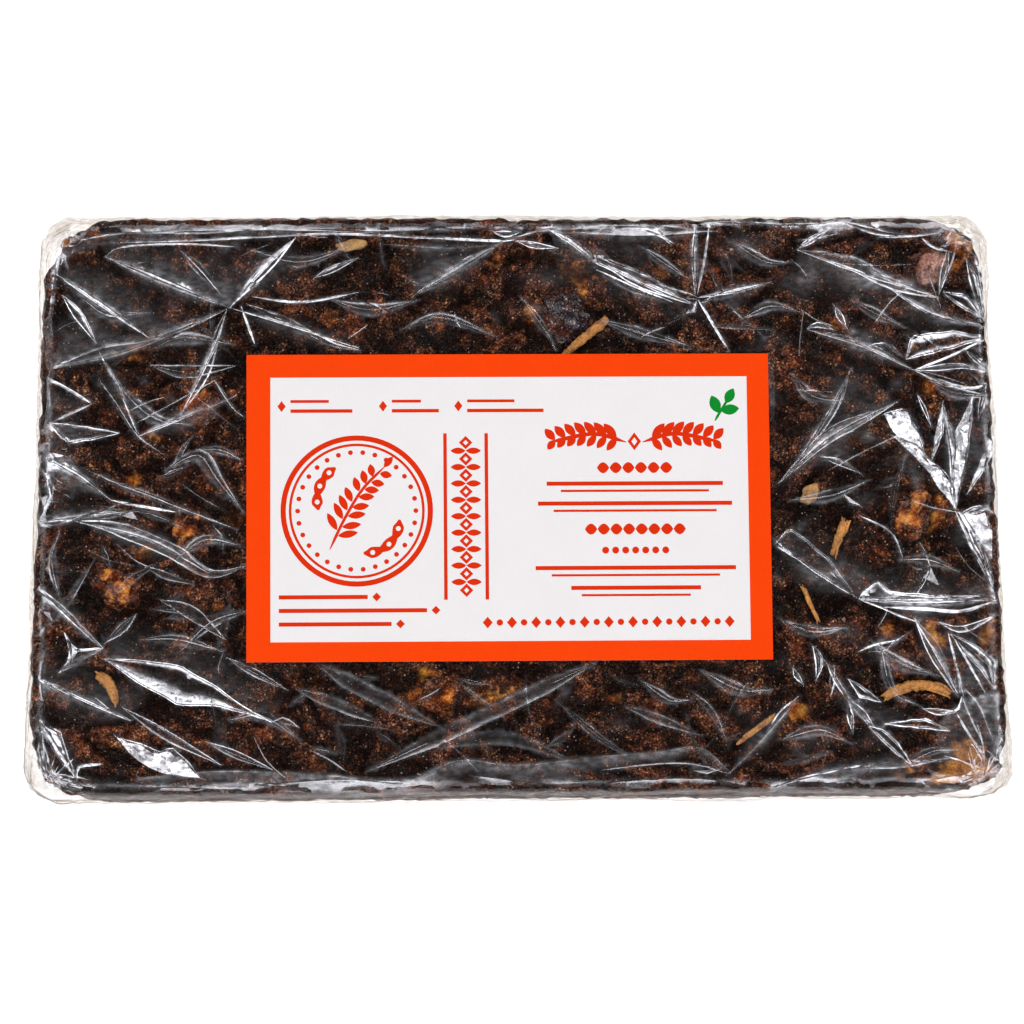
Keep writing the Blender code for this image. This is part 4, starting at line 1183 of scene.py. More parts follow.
def relief(p):
    """How far the pressed pulp falls back at surface points p, in mm."""
    warp = np.column_stack([perlin(p / 9 + k * 7.3, 11 + k) for k in range(3)])
    shred = np.column_stack([perlin(p / 2.2 + k * 3.7, 14 + k) for k in range(3)])
    q = p + warp * 2.0 + shred * 0.5
    a = np.abs(perlin(q / np.array([8.5, 6.0, 7.0]), 3))
    b = np.abs(perlin((q + warp) / np.array([3.4, 2.7, 3.0]), 5))
    d = np.abs(perlin((p + shred * 0.8) / np.array([1.5, 1.2, 1.3]), 7))
    broad = 1.5 * (1 - np.minimum(a * 2.3, 1)) ** 1.6
    middle = 0.85 * (1 - np.minimum(b * 2.2, 1)) ** 1.4
    small = 0.42 * (1 - np.minimum(d * 2.0, 1))
    grit = perlin(p / 0.66, 31) * 0.2 + np.maximum(perlin(p / 1.05, 37) - 0.05, -0.2) * 0.3
    pit = 1.6 * ease(perlin(p / 8.5 + 3.1, 47), 0.35, 0.95)
    return broad + pit, middle, small - grit


def uncovered(q):
    """1 over the seeds and strands that show at the surface, fading out around them."""
    total = np.zeros(len(q))
    for x, y, long, wide, turn in SHOWING:
        a = math.radians(turn)
        dx, dy = q[:, 0] - x, q[:, 1] - y
        u = (dx * math.cos(a) + dy * math.sin(a)) / (long / 2)
        v = (dy * math.cos(a) - dx * math.sin(a)) / (wide / 2)
        total = np.maximum(total, 1 - ease(np.hypot(u, v), 0.7, 1.1))
    for path, thick in STRANDS:
        line = smooth_line(path, 0.4)
        lo, hi = line.min(0) - 3, line.max(0) + 3
        near = np.where(np.all((q > lo) & (q < hi), axis=1))[0]
        if len(near):
            gap = np.sqrt(((q[near, None, :] - line[None]) ** 2).sum(2)).min(1)
            total[near] = np.maximum(total[near], 1 - ease(gap, thick * 0.45, thick * 0.45 + 0.8))
    return total


def label_zone(q, margin):
    """1 well inside the label, falling to 0 at margin mm outside it."""
    dx = np.abs(q[:, 0] - LABEL_X) - LABEL_LONG / 2
    dy = np.abs(q[:, 1] - LABEL_Y) - LABEL_HIGH / 2
    return 1 - ease(np.maximum(dx, dy), -0.5, margin)


SPOTS = [  # amber flesh near the surface: u, v, radius in mm, strength
    (200, 407, 5.0, 0.6), (188, 517, 2.8, 0.85), (184, 534, 2.8, 0.75), (196, 524, 3.4, 0.5),
    (92, 556, 2.4, 0.4), (100, 567, 2.8, 0.45), (110, 579, 3.2, 0.6), (120, 590, 3.2, 0.85), (127, 599, 2.6, 0.9),
    (146, 558, 2.6, 0.55), (236, 520, 3.0, 0.55), (925, 632, 2.6, 0.7), (935, 642, 2.4, 0.6), (985, 636, 3.0, 0.7),
    (448, 700, 3.0, 0.6), (485, 700, 3.6, 0.5), (505, 692, 3.2, 0.5), (525, 684, 2.6, 0.4),
    (920, 511, 6.6, 0.6), (430, 688, 4.4, 0.85), (275, 710, 2.2, 0.6), (328, 719, 2.0, 0.5),
    (884, 628, 2.2, 0.8), (843, 324, 2.0, 0.6), (880, 287, 2.2, 0.5), (537, 316, 3.6, 0.5),
    (796, 711, 2.4, 0.8), (929, 384, 3.0, 0.5), (497, 262, 2.0, 0.5), (664, 268, 2.4, 0.5),
    (232, 390, 2.2, 0.4), (133, 479, 2.0, 0.85), (860, 440, 2.4, 0.4), (975, 700, 2.4, 0.4),
    (62, 262, 3.0, 0.5), (958, 262, 2.6, 0.6), (966, 766, 5.6, 1.0), (984, 782, 4.6, 1.0), (940, 782, 3.4, 1.0), (955, 750, 3.0, 0.8), (915, 784, 3.0, 0.8), (900, 778, 4.0, 0.7), (50, 236, 4.0, 1.0), (968, 236, 4.0, 1.0),
    (92, 234, 3.0, 0.5), (46, 788, 2.6, 0.5), (700, 250, 2.2, 0.5), (440, 320, 2.4, 0.4), (220, 610, 2.2, 0.4), (330, 320, 2.4, 0.35),
]


def amber_at(q, p):
    total = np.zeros(len(q))
    ragged = perlin(p / 1.7, 71) * 0.5 + perlin(p / 0.8, 73) * 0.25
    for u, v, radius, strength in SPOTS:
        c = at(u, v, 27.0)
        d = np.hypot(q[:, 0] - c[0], q[:, 1] - c[1]) / radius
        total = np.maximum(total, strength * (1.28 if strength > 0.95 else 1.0) * (1 - ease(d + ragged * 0.5, 0.35, 1.1)))
    patch = ease(perlin(p / 7.5, 81) + 0.35 * ragged, 0.62, 0.95) * 0.55
    return np.clip(np.maximum(total, patch), 0, 1.5)


def shape_pulp(q, p, zone):
    """The pulp's fall below the wrapped slab, and the film's own sink, at the same places."""
    broad, middle, small = relief(p)
    rest = ease(p[:, 2], 1.0, 6.0)  # the back is pressed flat
    sink = np.maximum(pressed(q, p), 0.0) * rest
    under = label_zone(q, 2.0) * (zone == 0)
    sink = sink * (1 - under) + 0.12 * under
    fall = (broad + middle) * (0.15 + 0.85 * rest) + small * (0.5 + 0.5 * rest)
    fall = fall * (1 - 0.35 * under)
    fall += uncovered(q) * (zone == 0) * 0.95
    gap = fall - 0.1
    # pulp meets the film and lies flat against it
    held = np.where(gap > 0.25, gap, 0.25 * np.exp((gap - 0.25) / 0.25))
    return sink + 0.48 + np.maximum(held, 0.0) + np.clip(small, -0.22, 0.5) * 0.8, sink, held, small


def build_pulp(finish):
    slab = Slab(0.0, 0.0, 0.02, 28.0, 5.6, 4.8)
    reach = slab.plan * MIDWAY
    front = grid_points(slab, 0.52, 5, reach)
    back = grid_points(slab, 1.9, 6, reach)
    p, n, faces, q, zone, run = wrap(slab, 500, 30, front, [], back)
    fall, sink, held, small = shape_pulp(q, p, zone)
    side = ease(np.hypot(n[:, 0], n[:, 1]), 0.25, 0.95)
    wide = np.abs(n[:, 0]) > np.abs(n[:, 1])
    fall = fall * (1 - 0.62 * side)
    for sx, sy, deep in ((-1, 1, 5.0), (1, 1, 2.6), (-1, -1, 2.6), (1, -1, 1.8)):
        worn = ease(sx * q[:, 0], 70.5, 80) * ease(sy * q[:, 1], 38, 47)
        fall += deep * worn * (0.8 + 0.35 * perlin(p / 3.1, 151)) * (0.35 + 0.65 * side)
    points = p - n * fall[:, None]
    points[:, 2] = np.maximum(points[:, 2], 0.50)
    # painted shade: how far the pulp lies below the film, which its material darkens by
    painted_shade = np.clip((held + 0.7 * np.clip(small, -0.2, 0.5)) / 1.5, 0, 1)
    piece = make_mesh(
        "pulp_block", taper(points), faces,
        {"painted_shade": painted_shade, "amber_and_painted_light": amber_at(q, p) * (0.5 + 0.5 * (zone == 0))},
    )
    piece.data.materials.append(finish)
    return piece


BACK_LINES = (  # where the film laps on the back, and the folded ends' edges, in mm
    ((-66, 7.2), (-22, 7.6), (20, 7.0), (66, 7.2)),
    ((-79, -41), (-66, -22), (-61, -7), (-60, 7.4), (-63, 22), (-80, 40)),
    ((79, -40), (67, -20), (61, -6), (60.5, 7.2), (64, 24), (79, 41)),
    ((-79, -44), (-52, -30), (-30, -26)), ((-78, 43), (-50, 31), (-24, 29)),
    ((79, -44), (55, -31), (34, -28)), ((79, 44), (54, 33), (27, 30)),
    ((-50, -8), (-10, -16), (30, -12)), ((-40, 20), (0, 24), (44, 17)), ((-20, -40), (10, -30), (50, -38)),
)


def back_folds():
    """Points and edges of the back's folds: a free edge that stands up, then falls back."""
    points, edges, heights = [], [], []
    for k, path in enumerate(BACK_LINES):
        p = smooth_line(path, 1.6)
        side = left_of(p)
        n = len(p)
        high = (0.26 if k < 3 else 0.15) * np.clip(np.minimum(np.linspace(0, 9, n), np.linspace(9, 0, n)), 0.1, 1)
        for away, part in ((-1.0, 0.45), (-0.35, 0.75), (0.0, 1.0), (0.16, 0.0)):
            base = len(points)
            points += [tuple(x) for x in p + side * away]
            heights += list(high * part)
            edges += [(base + i, base + i + 1) for i in range(n - 1)]
    return np.array(points), edges, np.array(heights)


def crumple(q, p):
    """Slack film's own soft folds: straight creases in several directions."""
    total = np.zeros(len(q))
    wander = perlin(p / 26, 91) * 6
    for k, (turn, size, high) in enumerate(((0.35, 17, 0.5), (1.15, 23, 0.45), (2.1, 14, 0.36), (2.75, 19, 0.42))):
        s = (q[:, 0] * math.cos(turn) + q[:, 1] * math.sin(turn) + wander * (1 if k % 2 else -1) + 3 * perlin(p / 15, 95 + k)) / size
        fold = np.abs((s % 1.0) - 0.5) * 2
        total += high * fold * ease(perlin(p / 21, 101 + k), -0.35, 0.55)
    return total


def build_film(finish, creases):
    slab = Slab(0.0, 0.0, 0.02, 28.0, 5.6, 4.8)
    reach = slab.plan * MIDWAY
    front = grid_points(slab, 0.8, 8, reach)
    back = grid_points(slab, 2.0, 9, reach)
    cp = np.array(creases.points)
    past = np.maximum(np.abs(cp) - slab.core, 0)
    inside = np.hypot(past[:, 0], past[:, 1]) < reach - 0.3
    number = np.cumsum(inside) - 1
    edges = [(int(number[a]), int(number[b])) for a, b in creases.edges if inside[a] and inside[b]]
    kept = cp[inside]
    # scattered points too close to a crease's own points would only roughen it
    cell = 0.42
    taken = {(int(x // cell), int(y // cell)) for x, y in kept}
    clear = [i for i, (x, y) in enumerate(front) if (int(x // cell), int(y // cell)) not in taken]
    seam, seam_edges, seam_high = back_folds()
    held_cells = {(int(x // 0.7), int(y // 0.7)) for x, y in seam}
    back = np.array([b for b in back if (int(b[0] // 0.7), int(b[1] // 0.7)) not in held_cells])
    p, n, faces, q, zone, run = wrap(
        slab, 560, 36, np.vstack([kept, front[clear]]), edges, np.vstack([seam, back]), seam_edges
    )
    lift, haze, gleam, free = creases.measure(q)
    fall, sink, held, small = shape_pulp(q, p, zone)
    rest = ease(p[:, 2], 1.0, 6.0)
    under = label_zone(q, 1.6) * (zone == 0)
    side = (zone == 1) * ease(28.0 - p[:, 2], 1.5, 6.0) * rest
    q3 = np.column_stack([q, np.zeros(len(q))])
    soft = crumple(q, p) * rest * (1 - under)
    high = lift * (1 - under) * np.where(zone == 2, 0, 1) + soft * (0.35 - 0.2 * side)
    # the sides: long slack folds along them
    swing = perlin(np.column_stack([run / 16, p[:, 2] / 4.2, np.zeros(len(p))]), 131)
    ply = perlin(np.column_stack([run / 6, p[:, 2] / 2.6, np.zeros(len(p))]), 137)
    high += side * (0.05 + 0.50 * np.abs(swing) + 0.16 * np.abs(ply))
    # the short ends: film folded over in triangles, as on a parcel
    end = side * (np.abs(n[:, 0]) > 0.7)
    over = (28.0 - p[:, 2]) - (46.0 - np.abs(p[:, 1])) * 0.66
    beneath = p[:, 2] - (44.0 - np.abs(p[:, 1])) * 0.50
    high += end * (0.28 * ease(over, -1.3, 1.3) + 0.24 * np.exp(-((over / 1.5) ** 2)) + 0.20 * np.exp(-((beneath / 1.6) ** 2)))
    ply_gleam = end * (0.45 * np.exp(-((over / 0.9) ** 2)) + 0.3 * np.exp(-((beneath / 0.9) ** 2)))
    # short pleats over the rounded edges, and bunched ones at the corners
    tilt = np.hypot(n[:, 0], n[:, 1])
    brim = ease(tilt, 0.02, 0.35) * (1 - ease(tilt, 0.8, 1.0)) * (n[:, 2] > 0)
    pleat = np.abs(perlin(np.column_stack([run / 3.2, tilt * 0.8, np.full(len(p), 5.0)]), 141))
    wave = np.abs(perlin(np.column_stack([q / 5.5, np.full(len(p), 2.0)]), 143))
    high += brim * (0.16 * pleat + 0.3 * wave) * (zone < 2)
    corner = ease(np.hypot(np.maximum(np.abs(p[:, 0]) - 70, 0), np.maximum(np.abs(p[:, 1]) - 38, 0)), 6, 16) * rest
    nook = ease(np.abs(q[:, 0]), 70, 80) * ease(np.abs(q[:, 1]), 38, 47) * (zone < 2) * rest
    high += nook * 0.5 * np.abs(perlin(np.column_stack([q / 2.1, np.full(len(p), 8.0)]), 149))
    high += corner * 0.35 * np.abs(perlin(np.column_stack([run / 1.9, p[:, 2] / 7, q[:, 0] / 9]), 147))
    streak = ease(np.abs(perlin(np.column_stack([run / 22, p[:, 2] / 4.2, np.zeros(len(p))]), 161)), 0.3, 0.7)
    gleam = gleam * (1 - 0.5 * nook) + side * (0.10 * streak + 0.55 * np.exp(-((swing / 0.09) ** 2)) * ease(ply, -0.15, 0.35)) + nook * 0.05 * ease(perlin(q3 / 1.6, 163), 0.1, 0.6)
    gleam = np.clip(gleam + brim * 0.2 * ease(wave, 0.3, 0.7) * ease(perlin(q3 / 11, 167), 0.25, 0.7), 0, 1)
    # the left edge: a bunch of crumpled film
    bunch = ease(-q[:, 0], 74.0, 76.5) * (1 - ease(-q[:, 0], 79.0, 81.0)) * np.exp(-(((q[:, 1] - 6.0) / 8.0) ** 2)) * (zone == 0)
    crush = perlin(q3 / 1.7, 181)
    high += bunch * 0.35 * np.abs(crush)
    gleam = np.clip(gleam + bunch * 0.8 * ease(crush, -0.1, 0.45), 0, 1)
    # the back: folds stand out from film that lies a little higher
    behind = np.where(zone == 2)[0]
    lap = np.zeros(len(q))
    for i, (x, y) in enumerate(seam):
        near = behind[np.abs(q[behind, 0] - x) < 0.05]
        near = near[np.abs(q[near, 1] - y) < 0.05]
        lap[near] = np.maximum(lap[near], seam_high[i])
    flat_back = (zone == 2) * ease(0.6 - p[:, 2], 0.0, 0.5)
    high = high * (1 - flat_back) + flat_back * (lap - 0.32 + 0.05 * perlin(q3 / 6, 171))
    gleam = np.clip(gleam + (zone == 2) * (lap > 0.1) * 0.5 + ply_gleam, 0, 1)
    points = p + n * (high - sink)[:, None]
    points[:, 2] = np.maximum(points[:, 2], 0.0)
    close = np.clip(1 - (held + high) / 0.7, 0, 1)
    cloud = ease(perlin(q3 / np.array([9.0, 5.0, 5.0]), 151), 0.0, 0.8) * (zone == 0) * (0.16 + 0.36 * ease(q[:, 0], 30, 62) + 0.12 * ease(q[:, 1], 26, 40))
    haze = np.clip(haze + 0.35 * bunch + cloud * (1 - under) * (1 - 0.8 * nook) + side * (0.01 + 0.10 * ease(np.abs(swing), 0.25, 0.6)) + corner * 0.12 + brim * 0.10 * ease(wave, 0.2, 0.6) + nook * (0.17 + 0.35 * perlin(q3 / 2.4, 173)), 0, 1)
    piece = make_mesh("wrap_film", taper(points), faces, {"haze": haze, "gleam": gleam, "free": 1 - close, "rim": np.clip(side * (0.35 + 0.65 * ease(p[:, 2], 12, 22)) + 0.3 * brim + 0.35 * nook, 0, 1), "brim": np.maximum(brim, side)})
    piece.data.materials.append(finish)
    piece.data.set_sharp_from_angle(angle=math.radians(15))
    return piece


# ----------------------------------------------------------------- small pieces


def seed_piece(name, nodes, centre, size, turn, finish, wrinkle=0.06, seed=0):
    """A flattened, uneven seed or lump, sunk in the pulp, with painted light on its top and one side and painted shade
    towards its edge.
    """
    rows, cols = 56, 84
    th = np.linspace(0, np.pi, rows)
    ph = np.linspace(0, 2 * np.pi, cols, endpoint=False)
    points = [(0, 0, 1)]
    for t in th[1:-1]:
        for a in ph:
            points.append((math.sin(t) * math.cos(a), math.sin(t) * math.sin(a), math.cos(t)))
    points.append((0, 0, -1))
    p = np.array(points)
    core = np.clip(p[:, 2], 0, 1)
    around = np.maximum(np.hypot(p[:, 0], p[:, 1]), 1e-6)
    c, s = np.abs(p[:, 0] / around), np.abs(p[:, 1] / around)
    square = 1 / np.maximum(c ** 2.5 + s ** 2.5, 0.5) ** (1 / 2.5)
    p[:, 0] *= square
    p[:, 1] *= square
    bump = 1 + wrinkle * perlin(p * 1.6 + seed * 3.1, 200 + seed) + wrinkle * 0.5 * perlin(p * 4.2 + seed, 220 + seed)
    p = p * bump[:, None] * np.array(size) / 2
    grit = perlin(p / 0.55 + seed, 230) * 0.07 + perlin(p / 1.2 + seed, 233) * 0.10
    p *= 1 + (grit / np.maximum(np.linalg.norm(p, axis=1), 1))[:, None]
    a = math.radians(turn)
    spin = np.array([[math.cos(a), -math.sin(a), 0], [math.sin(a), math.cos(a), 0], [0, 0, 1]])
    p = p @ spin.T + np.array(centre)
    top = centre[2] + size[2] / 2
    # painted light: the top and one lit side are made lighter and more amber through core
    lit = ((p[:, 0] - centre[0]) * math.cos(seed * 1.9) + (p[:, 1] - centre[1]) * math.sin(seed * 1.9)) / size[1]
    core = np.clip((p[:, 2] - (top - 0.8)) / 1.2 + 0.55 * lit + 0.45 * perlin(p / 2.2, 236 + seed) + 0.2 * perlin(p / 0.8, 238), 0, 1)
    if "bottom" in name:
        core = core * (1 - ease((p[:, 0] - centre[0]) / size[0], 0.10, 0.30))
    # random mottle and painted shade: darker where core is low, away from the lit top and side
    mottle_and_shade = np.clip(0.42 + 0.35 * perlin(p / 2.4, 241 + seed) - 0.4 * core, 0, 1)
    faces = []
    last = len(points) - 1
    for j in range(cols):
        k = (j + 1) % cols
        faces.append((0, 1 + j, 1 + k))
        faces.append((last, last - cols + k, last - cols + j))
        for i in range(rows - 3):
            b = 1 + i * cols
            faces.append((b + j, b + cols + j, b + cols + k, b + k))
    piece = make_mesh(name, p, faces, {"amber_and_painted_light": core, "painted_shade": mottle_and_shade})
    piece.data.materials.append(finish)
    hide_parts(*nodes)
    return piece


def fibre_piece(name, cad_node, path, thick, z, finish, seed=0):
    """A torn strand: an uneven body with thinner splinters along it that fray at its ends."""
    rng = np.random.default_rng(600 + seed)
    spine = smooth_line(path, 0.25)
    points, faces = [], []
    strands = [(spine, thick, 0.0, 0.0, 14, 0.45)]
    for k in range(7):
        a, b = sorted(rng.uniform(-0.05, 1.05, 2))
        if b - a < 0.35:
            a, b = a - 0.2, b + 0.2
        n = len(spine)
        i0, i1 = int(np.clip(a, 0, 0.6) * (n - 1)), int(np.clip(b, 0.4, 1) * (n - 1))
        part = spine[i0: i1 + 1].copy()
        across = left_of(part)
        off = rng.uniform(-0.36, 0.36) * thick
        part += across * (off + 0.08 * thick * np.sin(np.linspace(0, rng.uniform(3, 8), len(part)) + k))[:, None]
        if i0 == 0:
            part = np.vstack([part[0] + (part[0] - part[2]) / np.linalg.norm(part[0] - part[2]) * rng.uniform(0.2, 0.55) + across[0] * off * 0.5, part])
        if i1 == n - 1:
            part = np.vstack([part, part[-1] + (part[-1] - part[-3]) / np.linalg.norm(part[-1] - part[-3]) * rng.uniform(0.2, 0.55) + across[-1] * off * 0.5])
        lift = thick * 0.36 * math.sqrt(max(0.05, 1 - (off / (thick * 0.5)) ** 2)) - 0.1
        strands.append((even(part, len(part)), rng.uniform(0.24, 0.42) * min(thick, 1.4), lift * 0.8, 1.0, 8, 0.15))
    for line, wide_at, lift, kind, around, tip in strands:
        n = len(line)
        side = left_of(line)
        t = np.linspace(0, 1, n)
        body = wide_at / 2 * (tip + (1 - tip) * np.clip(np.sin(math.pi * np.clip(0.10 + 0.86 * t, 0, 1)), 0, 1) ** 0.6)
        if not kind:
            body *= 1.08 - 0.35 * t
        body[0] *= 0.4
        body[-1] *= 0.4
        ring = []
        for i in range(n):
            for k in range(around):
                a = 2 * math.pi * k / around
                ring.append((
                    line[i][0] + side[i][0] * math.cos(a) * body[i],
                    line[i][1] + side[i][1] * math.cos(a) * body[i],
                    z + lift + math.sin(a) * body[i] * 0.72,
                ))
        p = np.array(ring)
        centre = np.repeat(np.column_stack([line, np.full(n, z + lift)]), around, axis=0)
        rough = 1 + 0.26 * perlin(p / 0.5, 240 + seed) + 0.2 * perlin(p / 1.3, 250 + seed)
        p = centre + (p - centre) * rough[:, None]
        p[:, 2] = np.minimum(p[:, 2], 27.42)
        base = len(points)
        points += [tuple(x) for x in p]
        for i in range(n - 1):
            for k in range(around):
                m = (k + 1) % around
                faces.append((base + i * around + k, base + i * around + m, base + (i + 1) * around + m, base + (i + 1) * around + k))
        faces.append(tuple(base + k for k in reversed(range(around))))
        faces.append(tuple(base + (n - 1) * around + k for k in range(around)))
    piece = make_mesh(name, np.array(points), faces)
    piece.data.materials.append(finish)
    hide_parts(cad_node)
    return piece


def flake_piece(name, cad_node, centre, size, turn, finish, seed=0):
    """A brittle chip with a ragged edge and a rough, slightly cupped face."""
    rings, spokes = 9, 40
    points = [(0.0, 0.0)]
    for i in range(1, rings + 1):
        for k in range(spokes):
            a = 2 * math.pi * k / spokes
            points.append((math.cos(a) * i / rings, math.sin(a) * i / rings))
    q = np.array(points)
    flat = np.column_stack([q, np.zeros(len(q))])
    edge = 1 + 0.28 * perlin(np.column_stack([q / np.maximum(np.hypot(q[:, 0], q[:, 1]), 1e-6)[:, None] * 1.4, np.full(len(q), seed * 2.0)]), 260 + seed)
    out = q * edge[:, None] * np.array(size[:2]) / 2
    r = np.hypot(q[:, 0], q[:, 1])
    top = size[2] * (0.5 + 0.25 * perlin(flat * 2.3 + seed, 270) - 0.2 * r ** 2)
    low = -size[2] * 0.5 * np.ones(len(q))
    top = np.where(r > 0.99, low * 0.1, top)
    a = math.radians(turn)
    spin = np.array([[math.cos(a), -math.sin(a)], [math.sin(a), math.cos(a)]])
    place = out @ spin.T + np.array(centre[:2])
    p = np.vstack([np.column_stack([place, top + centre[2]]), np.column_stack([place, low + centre[2]])])
    m = len(q)
    faces = []
    for k in range(spokes):
        j = (k + 1) % spokes
        faces.append((0, 1 + k, 1 + j))
        faces.append((m, m + 1 + j, m + 1 + k))
        for i in range(rings - 1):
            b = 1 + i * spokes
            faces.append((b + k, b + spokes + k, b + spokes + j, b + j))
            faces.append((m + b + k, m + b + j, m + b + spokes + j, m + b + spokes + k))
        b = 1 + (rings - 1) * spokes
        faces.append((b + k, m + b + k, m + b + j, b + j))
    piece = make_mesh(name, p, faces)
    piece.data.materials.append(finish)
    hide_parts(cad_node)
    return piece


# -------------------------------------------------------------------- the label


PAPER, BORDER, INK, GREEN = 0, 1, 2, 3


class Print:
    """Flat shapes on the label, later ones over earlier ones; x right, y up, in mm."""

    def __init__(self):
        self.shapes = []

    def poly(self, points, ink):
        self.shapes.append((np.array(points, float), ink))

    def box(self, x0, y0, x1, y1, ink):
        self.poly([(x0, y0), (x1, y0), (x1, y1), (x0, y1)], ink)

    def disc(self, x, y, r, ink, n=40):
        a = np.linspace(0, 2 * np.pi, n, endpoint=False)
        self.poly(np.column_stack([x + r * np.cos(a), y + r * np.sin(a)]), ink)

    def ring(self, x, y, r, wide, ink, inside=PAPER, n=72):
        self.disc(x, y, r, ink, n)
        self.disc(x, y, r - wide, inside, n)

    def leaf(self, x, y, long, wide, turn, ink, n=9):
        t = np.linspace(0, 1, n)
        upper = np.column_stack([t * long, wide / 2 * np.sin(np.pi * t) ** 0.8])
        lower = np.column_stack([t[::-1] * long, -wide / 2 * np.sin(np.pi * t[::-1]) ** 0.8])
        p = np.vstack([upper, lower[1:-1]])
        a = math.radians(turn)
        spin = np.array([[math.cos(a), -math.sin(a)], [math.sin(a), math.cos(a)]])
        self.poly(p @ spin.T + (x, y), ink)

    def diamond(self, x, y, w, h, ink):
        self.poly([(x - w / 2, y), (x, y - h / 2), (x + w / 2, y), (x, y + h / 2)], ink)

    def stroke(self, points, wide, ink, tip=1.0):
        p = smooth_line(points, 0.6)
        n = len(p)
        t = np.linspace(0, 1, n)
        w = wide / 2 * np.clip(np.minimum(tip + t * 6, tip + (1 - t) * 6), 0, 1)
        side = left_of(p) * w[:, None]
        self.poly(np.vstack([p + side, (p - side)[::-1]]), ink)


